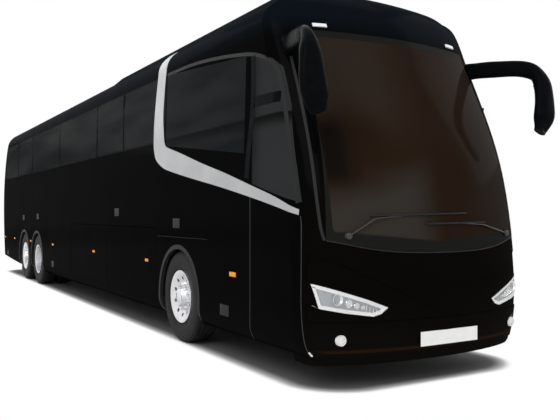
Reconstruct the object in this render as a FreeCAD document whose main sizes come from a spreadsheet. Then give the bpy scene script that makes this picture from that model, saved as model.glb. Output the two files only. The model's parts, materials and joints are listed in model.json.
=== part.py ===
import FreeCAD, Part
import Sketcher
import math
import os
import re

V = FreeCAD.Vector
doc = FreeCAD.newDocument("coach")

# every size of the coach in millimetres, each written once
sizes = {
    # whole vehicle
    "front_overhang": 2990, "wheelbase": 7700, "tag_spacing": 1350, "rear_overhang": 2940,
    "body_width": 2550, "skirt_height": 280, "saloon_height": 2000, "underfloor": 310,
    # cross-section of the body
    "wall": 55, "tuck_rise": 180, "tuck_depth": 78, "lean_rise": 500, "side_lean": 35,
    "shoulder_radius": 290, "crown_rise": 32,
    # front end in plan and in profile, set-backs from the foremost point
    "nose_radius": 3000, "nose_corner": 402, "bumper_height": 600, "sill_rise": 120,
    "screen_mid_rise": 860, "screen_drop": 370, "chin_set": 90, "sill_set": 22,
    "screen_mid_set": 190, "screen_top_set": 675, "brow_set": 885, "pod_face_rise": 100,
    "pod_face_set": 1060, "pod_top_set": 1890,
    # rear end
    "tail_radius": 9000, "tail_corner": 160, "tail_low_set": 240, "tail_mid_height": 1200,
    "tail_window_set": 55, "tail_brow_set": 400, "tail_roof_set": 1150,
    "tail_skirt_rise": 160, "tail_skirt_run": 2250,
    # seams of the body
    "mask_lead": 184, "cap_run": 696, "tail_seam": 560, "tail_roof_seam": 1300, "bumper_top": 575,
    "mask_rise": 440, "cantrail_drop": 310, "roof_gap": 0.3,
    # glass
    "glass": 8, "belt_rise": 840, "band_drop": 360, "pane_gap": 10, "pillar": 90,
    "screen_half_low": 1100, "screen_half_top": 1000, "screen_corner_rise": 110,
    "front_window_drop": 300, "front_window_fall": 160, "rear_window_half": 900,
    "rear_sill_drop": 40, "rear_head_drop": 550, "last_pane_lean": 290,
    "first_joint": 440, "last_joint": 390, "driver_sill_rise": 545, "driver_head_drop": 205,
    # wheels and axles
    "tyre_radius": 522, "wheel_room": 146, "tyre_width": 298, "rim_radius": 298.4,
    "tyre_seat_gap": 0.3, "rim_inset": 30, "rim_offset": 145, "twin_spacing": 340,
    "barrel_bore": 270, "disc_thickness": 14, "hub_radius": 115, "hub_reach": 30, "rim_dish": 45,
    "hand_holes": 10, "hand_hole_radius": 22, "hand_hole_ring": 212,
    "twin_dish": 270, "arch_radius": 590, "kingpin_inset": 200, "kingpin_radius": 24,
    "pin_clearance": 0.05, "spindle_radius": 40, "tube_inset": 250, "drive_end_inset": 70,
    "tag_tube_inset": 120, "tag_end_reach": 65,
    # doors and flaps
    "gap": 6, "seal_gap": 13, "arm_pin": 8, "entrance_margin": 186.2, "entrance_width": 850,
    "entrance_room": 1530,
    "flap_drop": 200, "flap_margin": 110, "flap_pillar": 50, "exit_to_axle": 1890,
    "exit_width": 960, "exit_room": 830, "engine_door_half": 800, "engine_door_low": 480,
    "step_lift": 100, "steps": 3,
    # roof pod
    "pod_rise": 310, "pod_base_half": 930, "pod_top_half": 610, "pod_ramp": 600, "pod_end": 7590,
    # inside
    "floor_thickness": 60, "cab_drop": 480, "seat_pitch": 780, "seat_rows": 14,
    "seat_width": 1000, "first_seat": 2350, "rack_half": 720, "rack_drop": 540,
    # underneath
    "rail_half": 420, "rail_width": 80, "rail_rise": 238, "rail_height": 180,
    "hold_thickness": 60, "bellows_radius": 90, "housing_half": 660, "housing_width": 675,
    "sheet_metal": 12,
    # lamps
    "shield_step": 8, "fog_radius": 52, "fog_half": 1030, "fog_height": 450, "lamp_inset": 145,
    "lamp_width": 160,
}

# sizes that follow from others
follows = {
    "body_length": "front_overhang + wheelbase + tag_spacing + rear_overhang",
    "housing_top": "2 * tyre_radius + wheel_room",
    "floor_height": "housing_top + underfloor",
    "roof_height": "floor_height + saloon_height",
    "lean_start": "floor_height + lean_rise",
    "cab_floor": "floor_height - cab_drop",
    "sill_height": "cab_floor + sill_rise",
    "mask_top": "cab_floor + mask_rise",
    "screen_mid_height": "sill_height + screen_mid_rise",
    "screen_top": "roof_height - screen_drop",
    "belt_height": "floor_height + belt_rise",
    "band_top": "roof_height - band_drop",
    "cantrail": "roof_height - cantrail_drop",
    "rack_height": "roof_height - rack_drop",
    "rear_window_low": "belt_height - rear_sill_drop",
    "rear_window_top": "roof_height - rear_head_drop",
    "pod_height": "roof_height + pod_rise",
    "pod_face_height": "roof_height + pod_face_rise",
    "entrance_top": "cab_floor + entrance_room",
    "exit_top": "floor_height + exit_room",
    "engine_door_top": "floor_height",
    "flap_top": "floor_height - flap_drop",
    "flap_length": "(wheelbase - arch_radius - flap_margin - exit_to_axle - exit_width) / 2 - flap_pillar",
    "rail_low": "tyre_radius + rail_rise",
    "rim_face": "body_width / 2 - rim_inset",
    "wheel_centre": "rim_face - rim_offset",
    "kingpin_half": "wheel_centre - kingpin_inset",
    "housing_inner": "body_width / 2 - wall - housing_width",
    "first_step": "skirt_height + step_lift",
    "step_rise": "(cab_floor - first_step) / steps",
    "corner_reach": "body_width / 2 + 2 - nose_corner",
    "corner_set": "nose_radius - sqrt((nose_radius - nose_corner)^2 - corner_reach^2)",
    "mask_seam": "corner_set - mask_lead",
    "cap_seam": "corner_set + cap_run",
    "entrance_front": "corner_set + entrance_margin",
    "lamp_outer": "body_width / 2 - lamp_inset",
    "lamp_inner": "lamp_outer - lamp_width",
}

sheet = doc.addObject("Spreadsheet::Sheet", "sizes")
for row, name in enumerate([*sizes, *follows], 1):
    sheet.set(f"A{row}", name)
    sheet.setAlias(f"B{row}", name)
    sheet.set(f"B{row}", str(sizes[name]) if name in sizes else "=" + follows[name])
doc.recompute()


class Size:
    """The sheet's numbers, read by name."""

    def __getattr__(self, name):
        return float(sheet.get(name))


s = Size()
words = re.compile(r"\b(" + "|".join([*sizes, *follows]) + r")\b")

# places that many pieces share, as expressions on the sheet
half = "(body_width / 2)"
nose = "(-body_length / 2)"
tail = "(body_length / 2)"
front_axle = "(front_overhang - body_length / 2)"
drive_axle = "(front_overhang + wheelbase - body_length / 2)"
tag_axle = "(front_overhang + wheelbase + tag_spacing - body_length / 2)"

nose_y = -s.body_length / 2
tail_y = s.body_length / 2
half_x = s.body_width / 2
front_axle_y = nose_y + s.front_overhang
drive_axle_y = front_axle_y + s.wheelbase
tag_axle_y = drive_axle_y + s.tag_spacing

parts = []


def bind(obj, prop, text):
    obj.setExpression(prop, words.sub(r"sizes.\1", str(text)))


def keep(obj, label):
    obj.Label = label
    parts.append(obj)
    return obj


def block(name, x0, x1, y0, y1, z0, z1):
    obj = doc.addObject("Part::Box", name)
    bind(obj, "Length", f"({x1}) - ({x0})")
    bind(obj, "Width", f"({y1}) - ({y0})")
    bind(obj, "Height", f"({z1}) - ({z0})")
    bind(obj, "Placement.Base.x", x0)
    bind(obj, "Placement.Base.y", y0)
    bind(obj, "Placement.Base.z", z0)
    return obj


def cylinder(name, radius, length, x, y, z, axis):
    obj = doc.addObject("Part::Cylinder", name)
    turn = {"X": FreeCAD.Rotation(V(0, 1, 0), 90), "Y": FreeCAD.Rotation(V(1, 0, 0), -90),
            "Z": FreeCAD.Rotation()}[axis]
    obj.Placement = FreeCAD.Placement(V(), turn)
    bind(obj, "Radius", radius)
    bind(obj, "Height", length)
    bind(obj, "Placement.Base.x", x)
    bind(obj, "Placement.Base.y", y)
    bind(obj, "Placement.Base.z", z)
    return obj


def cut(name, base, tool):
    obj = doc.addObject("Part::Cut", name)
    obj.Base = base
    obj.Tool = tool
    return obj


def common(name, base, tool):
    obj = doc.addObject("Part::Common", name)
    obj.Base = base
    obj.Tool = tool
    return obj


def fuse(name, *shapes):
    obj = doc.addObject("Part::MultiFuse", name)
    obj.Shapes = list(shapes)
    return obj


def group(name, *shapes):
    obj = doc.addObject("Part::Compound", name)
    obj.Links = list(shapes)
    return obj


def mirror(name, source):
    obj = doc.addObject("Part::Mirroring", name)
    obj.Source = source
    obj.Normal = V(1, 0, 0)
    return obj


def solid(name, shape):
    obj = doc.addObject("Part::Feature", name)
    obj.Shape = shape
    return obj


def prism(name, points, plane, start, depth):
    """A flat outline on XZ or YZ, pushed from start by depth."""
    if plane == "XZ":
        corners = [V(a, start, b) for a, b in points]
        push = V(0, depth, 0)
    else:
        corners = [V(start, a, b) for a, b in points]
        push = V(depth, 0, 0)
    face = Part.Face(Part.makePolygon(corners + corners[:1]))
    return solid(name, face.extrude(push))


def curve(points):
    spline = Part.BSplineCurve()
    spline.interpolate([V(*point) for point in points])
    return spline


# forms of the body: section, nose and tail, each drawn at a depth below the outer skin


def section(depth, low, y0, y1):
    """The body's cross-section, pushed along the coach."""
    wall_x = half_x - depth
    top_x = wall_x - s.side_lean
    radius = s.shoulder_radius - depth
    cx = half_x - s.side_lean - s.shoulder_radius
    cz = s.roof_height - s.crown_rise - s.shoulder_radius
    lean = math.atan2(s.side_lean, cz - s.lean_start)
    crown = s.roof_height - depth
    roll = 2 * math.atan2(s.crown_rise, cx)

    def on_shoulder(angle):
        return V(cx + radius * math.cos(angle), 0, cz + radius * math.sin(angle))

    a0, a1 = lean, math.pi / 2 - roll
    tuck_z = s.skirt_height + s.tuck_rise
    tuck_x = wall_x - s.tuck_depth
    toe = V(tuck_x, 0, s.skirt_height)
    hip = V(wall_x, 0, tuck_z)
    belly = V(wall_x - s.tuck_depth * 0.27, 0, tuck_z - s.tuck_rise * 0.55)
    waist = V(wall_x, 0, s.lean_start)
    right = [Part.Arc(toe, belly, hip).toShape(), Part.makeLine(hip, waist),
             Part.makeLine(waist, on_shoulder(a0)),
             Part.Arc(on_shoulder(a0), on_shoulder((a0 + a1) / 2), on_shoulder(a1)).toShape()]
    if low < s.skirt_height:
        right.insert(0, Part.makeLine(V(tuck_x, 0, low), toe))
    left = [edge.mirror(V(), V(1, 0, 0)) for edge in reversed(right)]
    over = Part.Arc(on_shoulder(a1), V(0, 0, crown), on_shoulder(a1).scale(-1, 1, 1)).toShape()
    under = Part.makeLine(V(-tuck_x, 0, low), V(tuck_x, 0, low))
    wire = Part.Wire(Part.__sortEdges__(right + [over] + left + [under]))
    face = Part.Face(wire)
    face.translate(V(0, y0, 0))
    return face.extrude(V(0, y1 - y0, 0))


def plan(radius, corner, reach):
    """Set-back of an end in plan: a wide arc with a round corner at each side."""
    sweep = math.asin((reach - corner) / (radius - corner))
    cx = (radius - corner) * math.sin(sweep)
    cy = radius - (radius - corner) * math.cos(sweep)
    points = [V(radius * math.sin(sweep * k / 2), radius * (1 - math.cos(sweep * k / 2)), 0)
              for k in range(3)]
    for k in range(1, 6):
        angle = sweep + (math.pi / 2 - sweep) * k / 5
        points.append(V(cx + corner * math.sin(angle), cy - corner * math.cos(angle), 0))
    return [V(-p.x, p.y, 0) for p in reversed(points[1:])] + points


def end_form(stations, radius, corner, depth, way):
    """All that lies behind an end's skin: the plan curve slid along the profile."""
    across = curve(plan(radius - depth, corner - depth, half_x + 2 - depth))
    down = curve([V(0, set_back, z) for set_back, z in stations])
    steps = [down.value(down.FirstParameter + (down.LastParameter - down.FirstParameter) * k / 400).y
             for k in range(401)]
    foremost = min(steps)
    skin = Part.BSplineSurface()
    poles = [[a + b for b in down.getPoles()] for a in across.getPoles()]
    skin.buildFromPolesMultsKnots(poles, across.getMultiplicities(), down.getMultiplicities(),
                                  across.getKnots(), down.getKnots(), False, False,
                                  across.Degree, down.Degree)
    form = skin.toShape().extrude(V(0, s.body_length * 1.2, 0))
    form.translate(V(0, nose_y + depth - foremost, 0))
    if way > 0:
        form = form.mirror(V(), V(0, 1, 0))
    return form


nose_line = [(s.chin_set, s.skirt_height - 90), (0, s.bumper_height), (s.sill_set, s.sill_height),
             (s.screen_mid_set, s.screen_mid_height),
             (s.screen_top_set, s.screen_top), (s.brow_set, s.roof_height - 10),
             (s.pod_face_set, s.pod_face_height), (s.pod_top_set, s.pod_height + 20)]
tail_line = [(s.tail_low_set, s.skirt_height - 90), (0, s.tail_mid_height),
             (s.tail_window_set, s.belt_height), (s.tail_brow_set, s.screen_top),
             (s.tail_roof_set, s.roof_height + 20)]


def nose_form(depth):
    return end_form(nose_line, s.nose_radius, s.nose_corner, depth, -1)


def tail_form(depth):
    return end_form(tail_line, s.tail_radius, s.tail_corner, depth, 1)


def body_form(depth, low):
    reach = tail_y + 50
    form = section(depth, low, -reach, reach)
    return form.common(nose_form(depth)).common(tail_form(depth))


outer = body_form(0, s.skirt_height)
skin_form = body_form(s.glass, s.skirt_height - 60)
seat_form = body_form(s.glass + s.roof_gap, s.skirt_height - 60)
inner = body_form(s.wall, s.skirt_height - 60)
tail_skirt = Part.makePolygon([V(-2000, tail_y - s.tail_skirt_run, 0), V(-2000, tail_y + 100, 0),
                               V(-2000, tail_y + 100, s.skirt_height + s.tail_skirt_rise * 1.1),
                               V(-2000, tail_y - s.tail_skirt_run, s.skirt_height),
                               V(-2000, tail_y - s.tail_skirt_run, 0)])
tail_skirt = Part.Face(tail_skirt).extrude(V(4000, 0, 0))
shell = solid("shell", outer.cut(inner).cut(tail_skirt))
glaze = solid("glaze", outer.cut(skin_form))
rebate = solid("rebate", outer.cut(seat_form))
cabin = solid("cabin", inner)
doc.recompute()

wide = "(body_width / 2 + 100)"
far_nose = "(-body_length / 2 - 100)"
far_tail = "(body_length / 2 + 100)"
mask_line = "(mask_seam - body_length / 2)"
cap_line = "(cap_seam - body_length / 2)"
tail_line_y = "(body_length / 2 - tail_seam)"

# windscreen, mask, bumper and front cap

low_x, top_x = s.screen_half_low, s.screen_half_top
sill_z, corner_z = s.sill_height, s.sill_height + s.screen_corner_rise
screen_outline = [(-low_x, corner_z), (-low_x * 0.55, sill_z + 22), (0, sill_z),
                  (low_x * 0.55, sill_z + 22), (low_x, corner_z), (top_x, s.screen_top),
                  (-top_x, s.screen_top)]
screen_cut = prism("screen_cut", screen_outline, "XZ", nose_y - 100, s.cap_seam)
windscreen = keep(common("windscreen", glaze, screen_cut), "windscreen")

# headlamp outlines seen from the front, drawn for the left side
headlamp_outline = [(1240, 900), (1190, 890), (1000, 830), (790, 760), (610, 690), (670, 640),
                    (740, 620), (980, 655), (1150, 690), (1262, 750), (1262, 880)]
lamp_left = prism("lamp_left", headlamp_outline, "XZ", nose_y - 100, 900)
lamp_right = prism("lamp_right", [(-x, z) for x, z in headlamp_outline], "XZ", nose_y - 100, 900)
lamp_cut = fuse("lamp_cut", lamp_left, lamp_right)
mask_zone = block("mask_zone", f"-{wide}", wide, far_nose, mask_line, "bumper_top", "mask_top")
mask_raw = common("mask_raw", shell, mask_zone)
headlamps = keep(common("headlamps", mask_raw, lamp_cut), "headlamps")
mask_less_screen = cut("mask_less_screen", mask_raw, screen_cut)
# the shield in the middle stands proud: what lies below its slanting edge steps back
shield_edge = [(1300, 1170), (1050, 1080), (850, 980), (610, 870), (400, 770), (170, 670), (0, 600)]
shield_outline = [(-x, z) for x, z in shield_edge] + [(x, z) for x, z in reversed(shield_edge[:-1])]
shield_outline += [(1300, s.bumper_top - 50), (-1300, s.bumper_top - 50)]
step_back = solid("step_back", outer.cut(body_form(s.shield_step, s.skirt_height - 60)))
shield_cut = common("shield_cut", step_back, prism("shield_zone", shield_outline, "XZ", nose_y - 100, 800))
mask_stepped = cut("mask_stepped", mask_less_screen, shield_cut)
front_mask = keep(cut("front_mask", mask_stepped, lamp_cut), "front_mask")

bumper_zone = block("bumper_zone", f"-{wide}", wide, far_nose, mask_line, "0", "bumper_top")
bumper_raw = common("bumper_raw", shell, bumper_zone)
fog_holes = fuse("fog_holes", *[
    cylinder(f"fog_hole_{side}", "fog_radius + roof_gap", "700", f"{sign} * fog_half",
             f"{nose} - 50", "fog_height", "Y") for side, sign in (("right", -1), ("left", 1))])
front_bumper = keep(cut("front_bumper", bumper_raw, fog_holes), "front_bumper")
fog_rods = fuse("fog_rods", *[
    cylinder(f"fog_rod_{side}", "fog_radius", "700", f"{sign} * fog_half",
             f"{nose} - 50", "fog_height", "Y") for side, sign in (("right", -1), ("left", 1))])
fog_lamps = keep(common("fog_lamps", shell, fog_rods), "fog_lamps")

# driver's window, on the right, and the opening of the entrance door, on the left
driver_low, driver_high = s.cab_floor + s.driver_sill_rise, s.band_top - s.driver_head_drop
# each corner as its distance behind the nose's corner and its share of the window's height
driver_shape = [(-114, 0), (296, 0.066), (661, 0.131), (661, 1), (506, 0.974), (366, 0.945),
                (256, 0.88), (191, 0.777), (101, 0.617), (21, 0.39), (-59, 0.172)]
driver_outline = [(nose_y + s.corner_set + run, driver_low + share * (driver_high - driver_low))
                  for run, share in driver_shape]
driver_cut = prism("driver_cut", driver_outline, "YZ", -half_x - 100, 600)
driver_window = keep(common("driver_window", glaze, driver_cut), "driver_window")

door_rear = f"({nose} + entrance_front + entrance_width)"
cap_zone = fuse("cap_zone",
                block("cap_front_zone", f"-{wide}", "0", far_nose, cap_line, "mask_top", "roof_height + 50"),
                block("cap_left_zone", "0", wide, far_nose, cap_line, "entrance_top", "roof_height + 50"),
                block("cap_door_zone", "0", wide, far_nose, door_rear, "entrance_top", "cantrail"))
cap_raw = cut("cap_raw", common("cap_all", shell, cap_zone), screen_cut)
cap_less_window = cut("cap_less_window", cap_raw, driver_cut)
door_header = block("door_header", f"{half} - wall - 150", f"{half} - wall + 20", f"{nose} + entrance_front",
                    cap_line, "entrance_top", "entrance_top + 30")
front_cap = keep(fuse("front_cap", cap_less_window, door_header), "front_cap")

# corner panels between the mask and the side walls, the left one up to the entrance door's head
corner_zone_right = block("corner_zone_right", f"-{wide}", 0, mask_line, cap_line, "0", "mask_top")
corner_panel_right = keep(common("corner_panel_right", shell, corner_zone_right),
                          "corner_panel_right")
entrance_line = f"({nose} + entrance_front)"
corner_zone_left = fuse("corner_zone_left",
                        block("corner_low_zone", "0", wide, mask_line, entrance_line, "0", "mask_top"),
                        block("corner_high_zone", "0", wide, far_nose, entrance_line, "mask_top",
                              "entrance_top"))
corner_left_raw = common("corner_left_raw", shell, corner_zone_left)
corner_panel_left = keep(cut("corner_panel_left", corner_left_raw, screen_cut), "corner_panel_left")

# side glass: one flush band behind the front window, each pane a share of its length
band_start, band_stop = front_axle_y + s.first_joint, tail_y - s.last_joint
pane_shares = [0, 0.14, 0.257, 0.477, 0.697, 0.842, 1]
pane_joints = [band_start + share * (band_stop - band_start) for share in pane_shares]
panes = []
openings = []
inset = (s.pillar - s.pane_gap) / 2
for k in range(6):
    start = pane_joints[k] + s.pane_gap / 2
    stop = pane_joints[k + 1] - s.pane_gap / 2
    lean = s.last_pane_lean if k == 5 else 0
    panes.append([(start, s.belt_height), (stop, s.belt_height), (stop - lean, s.band_top),
                  (start, s.band_top)])
    openings.append([(start + inset, s.belt_height + inset), (stop - inset, s.belt_height + inset),
                     (stop - lean - inset, s.band_top - inset), (start + inset, s.band_top - inset)])
band = [(band_start - 300, s.belt_height), (band_stop, s.belt_height),
        (band_stop - s.last_pane_lean, s.band_top), (band_start - 300, s.band_top)]


def front_window(front):
    """The big window behind the cab, its lower edge rising to the rear."""
    rear = band_start - 30
    run = rear - (nose_y + s.cap_seam + 130)
    fall = s.front_window_drop * (rear - front) / run
    drop = s.front_window_fall * (rear - front) / run
    return [(front, s.belt_height - fall), (rear, s.belt_height - 60), (rear, s.band_top - 15),
            (front, s.band_top - 15 - drop)]


window_right = front_window(nose_y + s.cap_seam + 130)
window_left = front_window(nose_y + s.entrance_front + s.entrance_width + 60)


def side_prisms(name, outlines, sign):
    shapes = [prism(f"{name}_{k}", outline, "YZ", sign * (half_x + 100), -sign * 280)
              for k, outline in enumerate(outlines)]
    return fuse(name, *shapes) if len(shapes) > 1 else shapes[0]


wheel_arches = fuse("wheel_arches", *[
    cylinder(f"arch_{name}", "arch_radius", "body_width + 200", f"-{wide}", place,
             "tyre_radius", "X")
    for name, place in (("front", front_axle), ("drive", drive_axle), ("tag", tag_axle))])

# flap and door openings, measured back from the nose
flap_one_front = f"({front_axle} + arch_radius + flap_margin)"
flap_two_front = f"({flap_one_front} + flap_length + flap_pillar)"
exit_rear_y = f"({drive_axle} - exit_to_axle)"
exit_front_y = f"({exit_rear_y} - exit_width)"


def side_hole(name, sign, y0, y1, top):
    a, b = (f"-{wide}", "-body_width / 2 + 300") if sign < 0 else ("body_width / 2 - 300", wide)
    return block(name, a, b, y0, y1, "0", top)


def side_leaf(name, sign, y0, y1, top):
    a, b = (f"-{wide}", "-body_width / 2 + 300") if sign < 0 else ("body_width / 2 - 300", wide)
    zone = block(f"{name}_zone", a, b, f"{y0} + gap", f"{y1} - gap", "0", f"{top} - gap")
    return keep(common(name, shell, zone), name)


flap_places = [(1, flap_one_front, f"{flap_one_front} + flap_length"),
               (2, flap_two_front, f"{flap_two_front} + flap_length")]
rear_side_tools = []
for side, sign in (("right", -1), ("left", 1)):
    glass_holes = side_prisms(f"openings_{side}",
                              openings + [window_right if sign < 0 else window_left], sign)
    band_cut = common(f"band_cut_{side}", rebate, side_prisms(f"band_{side}", [band], sign))
    rear_side_tools += [glass_holes, band_cut]
    holes = [side_hole(f"flap_hole_{side}_{k}", sign, a, b, "flap_top") for k, a, b in flap_places]
    if sign < 0:
        holes.append(side_hole("exit_hole", sign, exit_front_y, exit_rear_y, "exit_top"))
    x0, x1 = (f"-{wide}", "0") if sign < 0 else ("0", wide)
    wall_front = cap_line if sign < 0 else door_rear
    wall_zone = block(f"wall_zone_{side}", x0, x1, wall_front, tail_line_y, "0", "cantrail")
    raw = common(f"wall_raw_{side}", shell, wall_zone)
    tools = fuse(f"wall_tools_{side}", glass_holes, band_cut, wheel_arches, *holes)
    keep(cut(f"side_wall_{side}", raw, tools), f"side_wall_{side}")
    pane_shapes = side_prisms(f"panes_{side}",
                              panes + [window_right if sign < 0 else window_left], sign)
    keep(common(f"side_windows_{side}", glaze, pane_shapes), f"side_windows_{side}")
    for k, a, b in flap_places:
        side_leaf(f"luggage_flap_{side}_{k}", sign, a, b, "flap_top")

side_leaf("exit_door", -1, exit_front_y, exit_rear_y, "exit_top")

# entrance door leaf with its window, hung on two cranked arms on a turning post
leaf_zone = block("leaf_zone", f"{half} - 300", wide, f"{entrance_line} + seal_gap",
                  f"{door_rear} - seal_gap", "skirt_height + 10", "entrance_top - seal_gap")
leaf_y0, leaf_y1 = nose_y + s.entrance_front, nose_y + s.entrance_front + s.entrance_width
leaf_glass = prism("leaf_glass", [(leaf_y0 + 80, s.cab_floor - 20), (leaf_y1 - 80, s.cab_floor - 20),
                                  (leaf_y1 - 80, s.entrance_top - 90),
                                  (leaf_y0 + 80, s.entrance_top - 90)], "YZ", half_x + 100, -600)
leaf_raw = common("leaf_raw", shell, leaf_zone)
entrance_glass = keep(common("entrance_glass", glaze, leaf_glass), "entrance_glass")

# roof, and the air-conditioning pod that grows out of the brow
roof_zone = block("roof_zone", f"-{wide}", wide, cap_line, f"{tail} - tail_roof_seam", "cantrail",
                  "roof_height + 50")
roof_shell = keep(common("roof_shell", shell, roof_zone), "roof_shell")

pod_low = s.roof_height - 120
pod_top_z = s.pod_height - 45
pod_outline = [(-s.pod_base_half, pod_low), (-s.pod_base_half, s.roof_height - 60),
               (-s.pod_top_half, pod_top_z), (s.pod_top_half, pod_top_z),
               (s.pod_base_half, s.roof_height - 60), (s.pod_base_half, pod_low)]
pod_box = Part.Face(Part.makePolygon([V(x, nose_y - 50, z) for x, z in pod_outline + pod_outline[:1]]))
pod_box = pod_box.extrude(V(0, s.pod_end + 50, 0))
arch_top = s.pod_height
crown_arc = Part.Arc(V(-s.pod_top_half, nose_y - 50, pod_top_z), V(0, nose_y - 50, arch_top),
                     V(s.pod_top_half, nose_y - 50, pod_top_z)).toShape()
crown_cap = Part.Face(Part.Wire([crown_arc, Part.makeLine(V(s.pod_top_half, nose_y - 50, pod_top_z),
                                                          V(-s.pod_top_half, nose_y - 50, pod_top_z))]))
pod_box = pod_box.fuse(crown_cap.extrude(V(0, s.pod_end + 50, 0))).removeSplitter()
ramp = Part.Face(Part.makePolygon([V(-1500, nose_y + s.pod_end, pod_low),
                                   V(-1500, nose_y + s.pod_end - s.pod_ramp, s.pod_height + 5),
                                   V(-1500, nose_y + s.pod_end + 50, s.pod_height + 5),
                                   V(-1500, nose_y + s.pod_end + 50, pod_low),
                                   V(-1500, nose_y + s.pod_end, pod_low)]))
pod_box = pod_box.cut(ramp.extrude(V(3000, 0, 0)))
pod_body = pod_box.common(nose_form(0)).cut(body_form(-s.roof_gap, s.skirt_height))
roof_pod = keep(solid("roof_pod", max(pod_body.Solids, key=lambda piece: piece.Volume)), "roof_pod")

# rear panel with its window, engine door and lamps
rear_cut = prism("rear_cut", [(-s.rear_window_half, s.rear_window_low),
                              (s.rear_window_half, s.rear_window_low),
                              (s.rear_window_half - 60, s.rear_window_top),
                              (-s.rear_window_half + 60, s.rear_window_top)],
                 "XZ", tail_y - s.tail_seam, 600)
rear_window = keep(common("rear_window", glaze, rear_cut), "rear_window")
engine_hole = block("engine_hole", "-engine_door_half", "engine_door_half", f"{tail} - tail_seam",
                    far_tail, "engine_door_low", "engine_door_top")
engine_zone = block("engine_zone", "-engine_door_half + gap", "engine_door_half - gap",
                    f"{tail} - tail_seam", far_tail, "engine_door_low + gap",
                    "engine_door_top - gap")
engine_leaf = common("engine_leaf", shell, engine_zone)
engine_tabs = fuse("engine_tabs", *[
    block(f"engine_tab_{k}", x, f"{x} + 80", f"{tail} - 50", f"{tail} - 38", "engine_door_top - gap - 30",
          "engine_door_top - roof_gap") for k, x in enumerate(("-engine_door_half + 150",
                                                               "engine_door_half - 230"))])
engine_door = keep(fuse("engine_door", engine_leaf, engine_tabs), "engine_door")
tail_holes = []
for side, sign in (("right", -1), ("left", 1)):
    for k, (low, high) in enumerate(((-680, 0), (400, 680))):
        x0, x1 = ("-lamp_outer", "-lamp_inner") if sign < 0 else ("lamp_inner", "lamp_outer")
        tail_holes.append(block(f"tail_lamp_{side}_{k}", x0, x1, f"{tail} - 250", far_tail,
                                f"floor_height + {low}", f"floor_height + {high}"))
tail_zone = fuse("tail_zone",
                 block("tail_low_zone", f"-{wide}", wide, tail_line_y, far_tail, "0", "cantrail"),
                 block("tail_top_zone", f"-{wide}", wide, f"{tail} - tail_roof_seam", far_tail,
                       "cantrail", "roof_height + 50"))
tail_lamp_cut = fuse("tail_lamp_cut", *tail_holes)
tail_lamps = keep(common("tail_lamps", shell, tail_lamp_cut), "tail_lamps")
tail_tools = fuse("tail_tools", rear_cut, engine_hole, tail_lamp_cut, *rear_side_tools)
rear_panel = keep(cut("rear_panel", common("rear_raw", shell, tail_zone), tail_tools), "rear_panel")

# floors and what stands on them
inside = f"({half} - wall)"
floor_deck = keep(block("floor_deck", f"-{inside}", inside, f"{nose} + cap_seam + 340",
                        f"{tail} - tail_seam - 20", "floor_height - floor_thickness",
                        "floor_height"), "floor_deck")
cab_zone = block("cab_zone", f"-{inside}", "460", f"{nose} + 100", f"{nose} + cap_seam + 340",
                 "cab_floor - 40", "cab_floor")
cab_floor = keep(common("cab_floor", cabin, cab_zone), "cab_floor")
step_front = f"({nose} + entrance_front - 10)"
tread_edges = [f"({inside} - 80)", "950", "720", "480"]
treads = []
for k, (outer_edge, inner_edge) in enumerate(zip(tread_edges, tread_edges[1:])):
    top = f"(first_step + {k} * step_rise)"
    treads.append(block(f"tread_{k}", f"{inner_edge} - 20", outer_edge, step_front, door_rear,
                        f"{top} - 40", top))
    treads.append(block(f"riser_{k}", f"{inner_edge} - 20", inner_edge, step_front, door_rear, top,
                        f"{top} + step_rise - 20"))
step_block = fuse("entrance_steps", *treads)
entrance_steps = keep(step_block, "entrance_steps")
dash_shape = [(500, 0), (400, 100), (420, 160), (640, 310), (760, 310), (700, 130), (620, 0)]
dash_outline = [(nose_y + back, s.cab_floor + rise) for back, rise in dash_shape]
dashboard = keep(prism("dashboard", dash_outline, "YZ", -1050, 2000), "dashboard")


def seat_outline(front, floor):
    return [(front + 180, floor), (front + 180, floor + 300), (front, floor + 300),
            (front - 10, floor + 430), (front + 430, floor + 400), (front + 540, floor + 1080),
            (front + 640, floor + 1080), (front + 560, floor + 300), (front + 420, floor + 300),
            (front + 420, floor)]


for side, sign in (("right", -1), ("left", 1)):
    rows = [prism(f"seat_{side}_{k}",
                  seat_outline(nose_y + s.first_seat + k * s.seat_pitch, s.floor_height), "YZ",
                  sign * (half_x - s.wall - 25), -sign * s.seat_width)
            for k in range(int(s.seat_rows))]
    keep(group(f"passenger_seats_{side}", *rows), f"passenger_seats_{side}")
driver_seat = keep(prism("driver_seat", seat_outline(nose_y + 1000, s.cab_floor), "YZ", -920, 480),
                   "driver_seat")

rack_body = body_form(s.wall + s.roof_gap, s.skirt_height)
rack_band = Part.makeBox(s.body_width, s.body_length - s.cap_seam - s.tail_seam - 700, 60,
                         V(-half_x, nose_y + s.cap_seam + 100, s.rack_height))
rack_gap = Part.makeBox(2 * s.rack_half, s.body_length, 80,
                        V(-s.rack_half, -s.body_length / 2, s.rack_height - 10))
luggage_racks = keep(solid("luggage_racks", rack_body.common(rack_band).cut(rack_gap)),
                     "luggage_racks")

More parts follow.
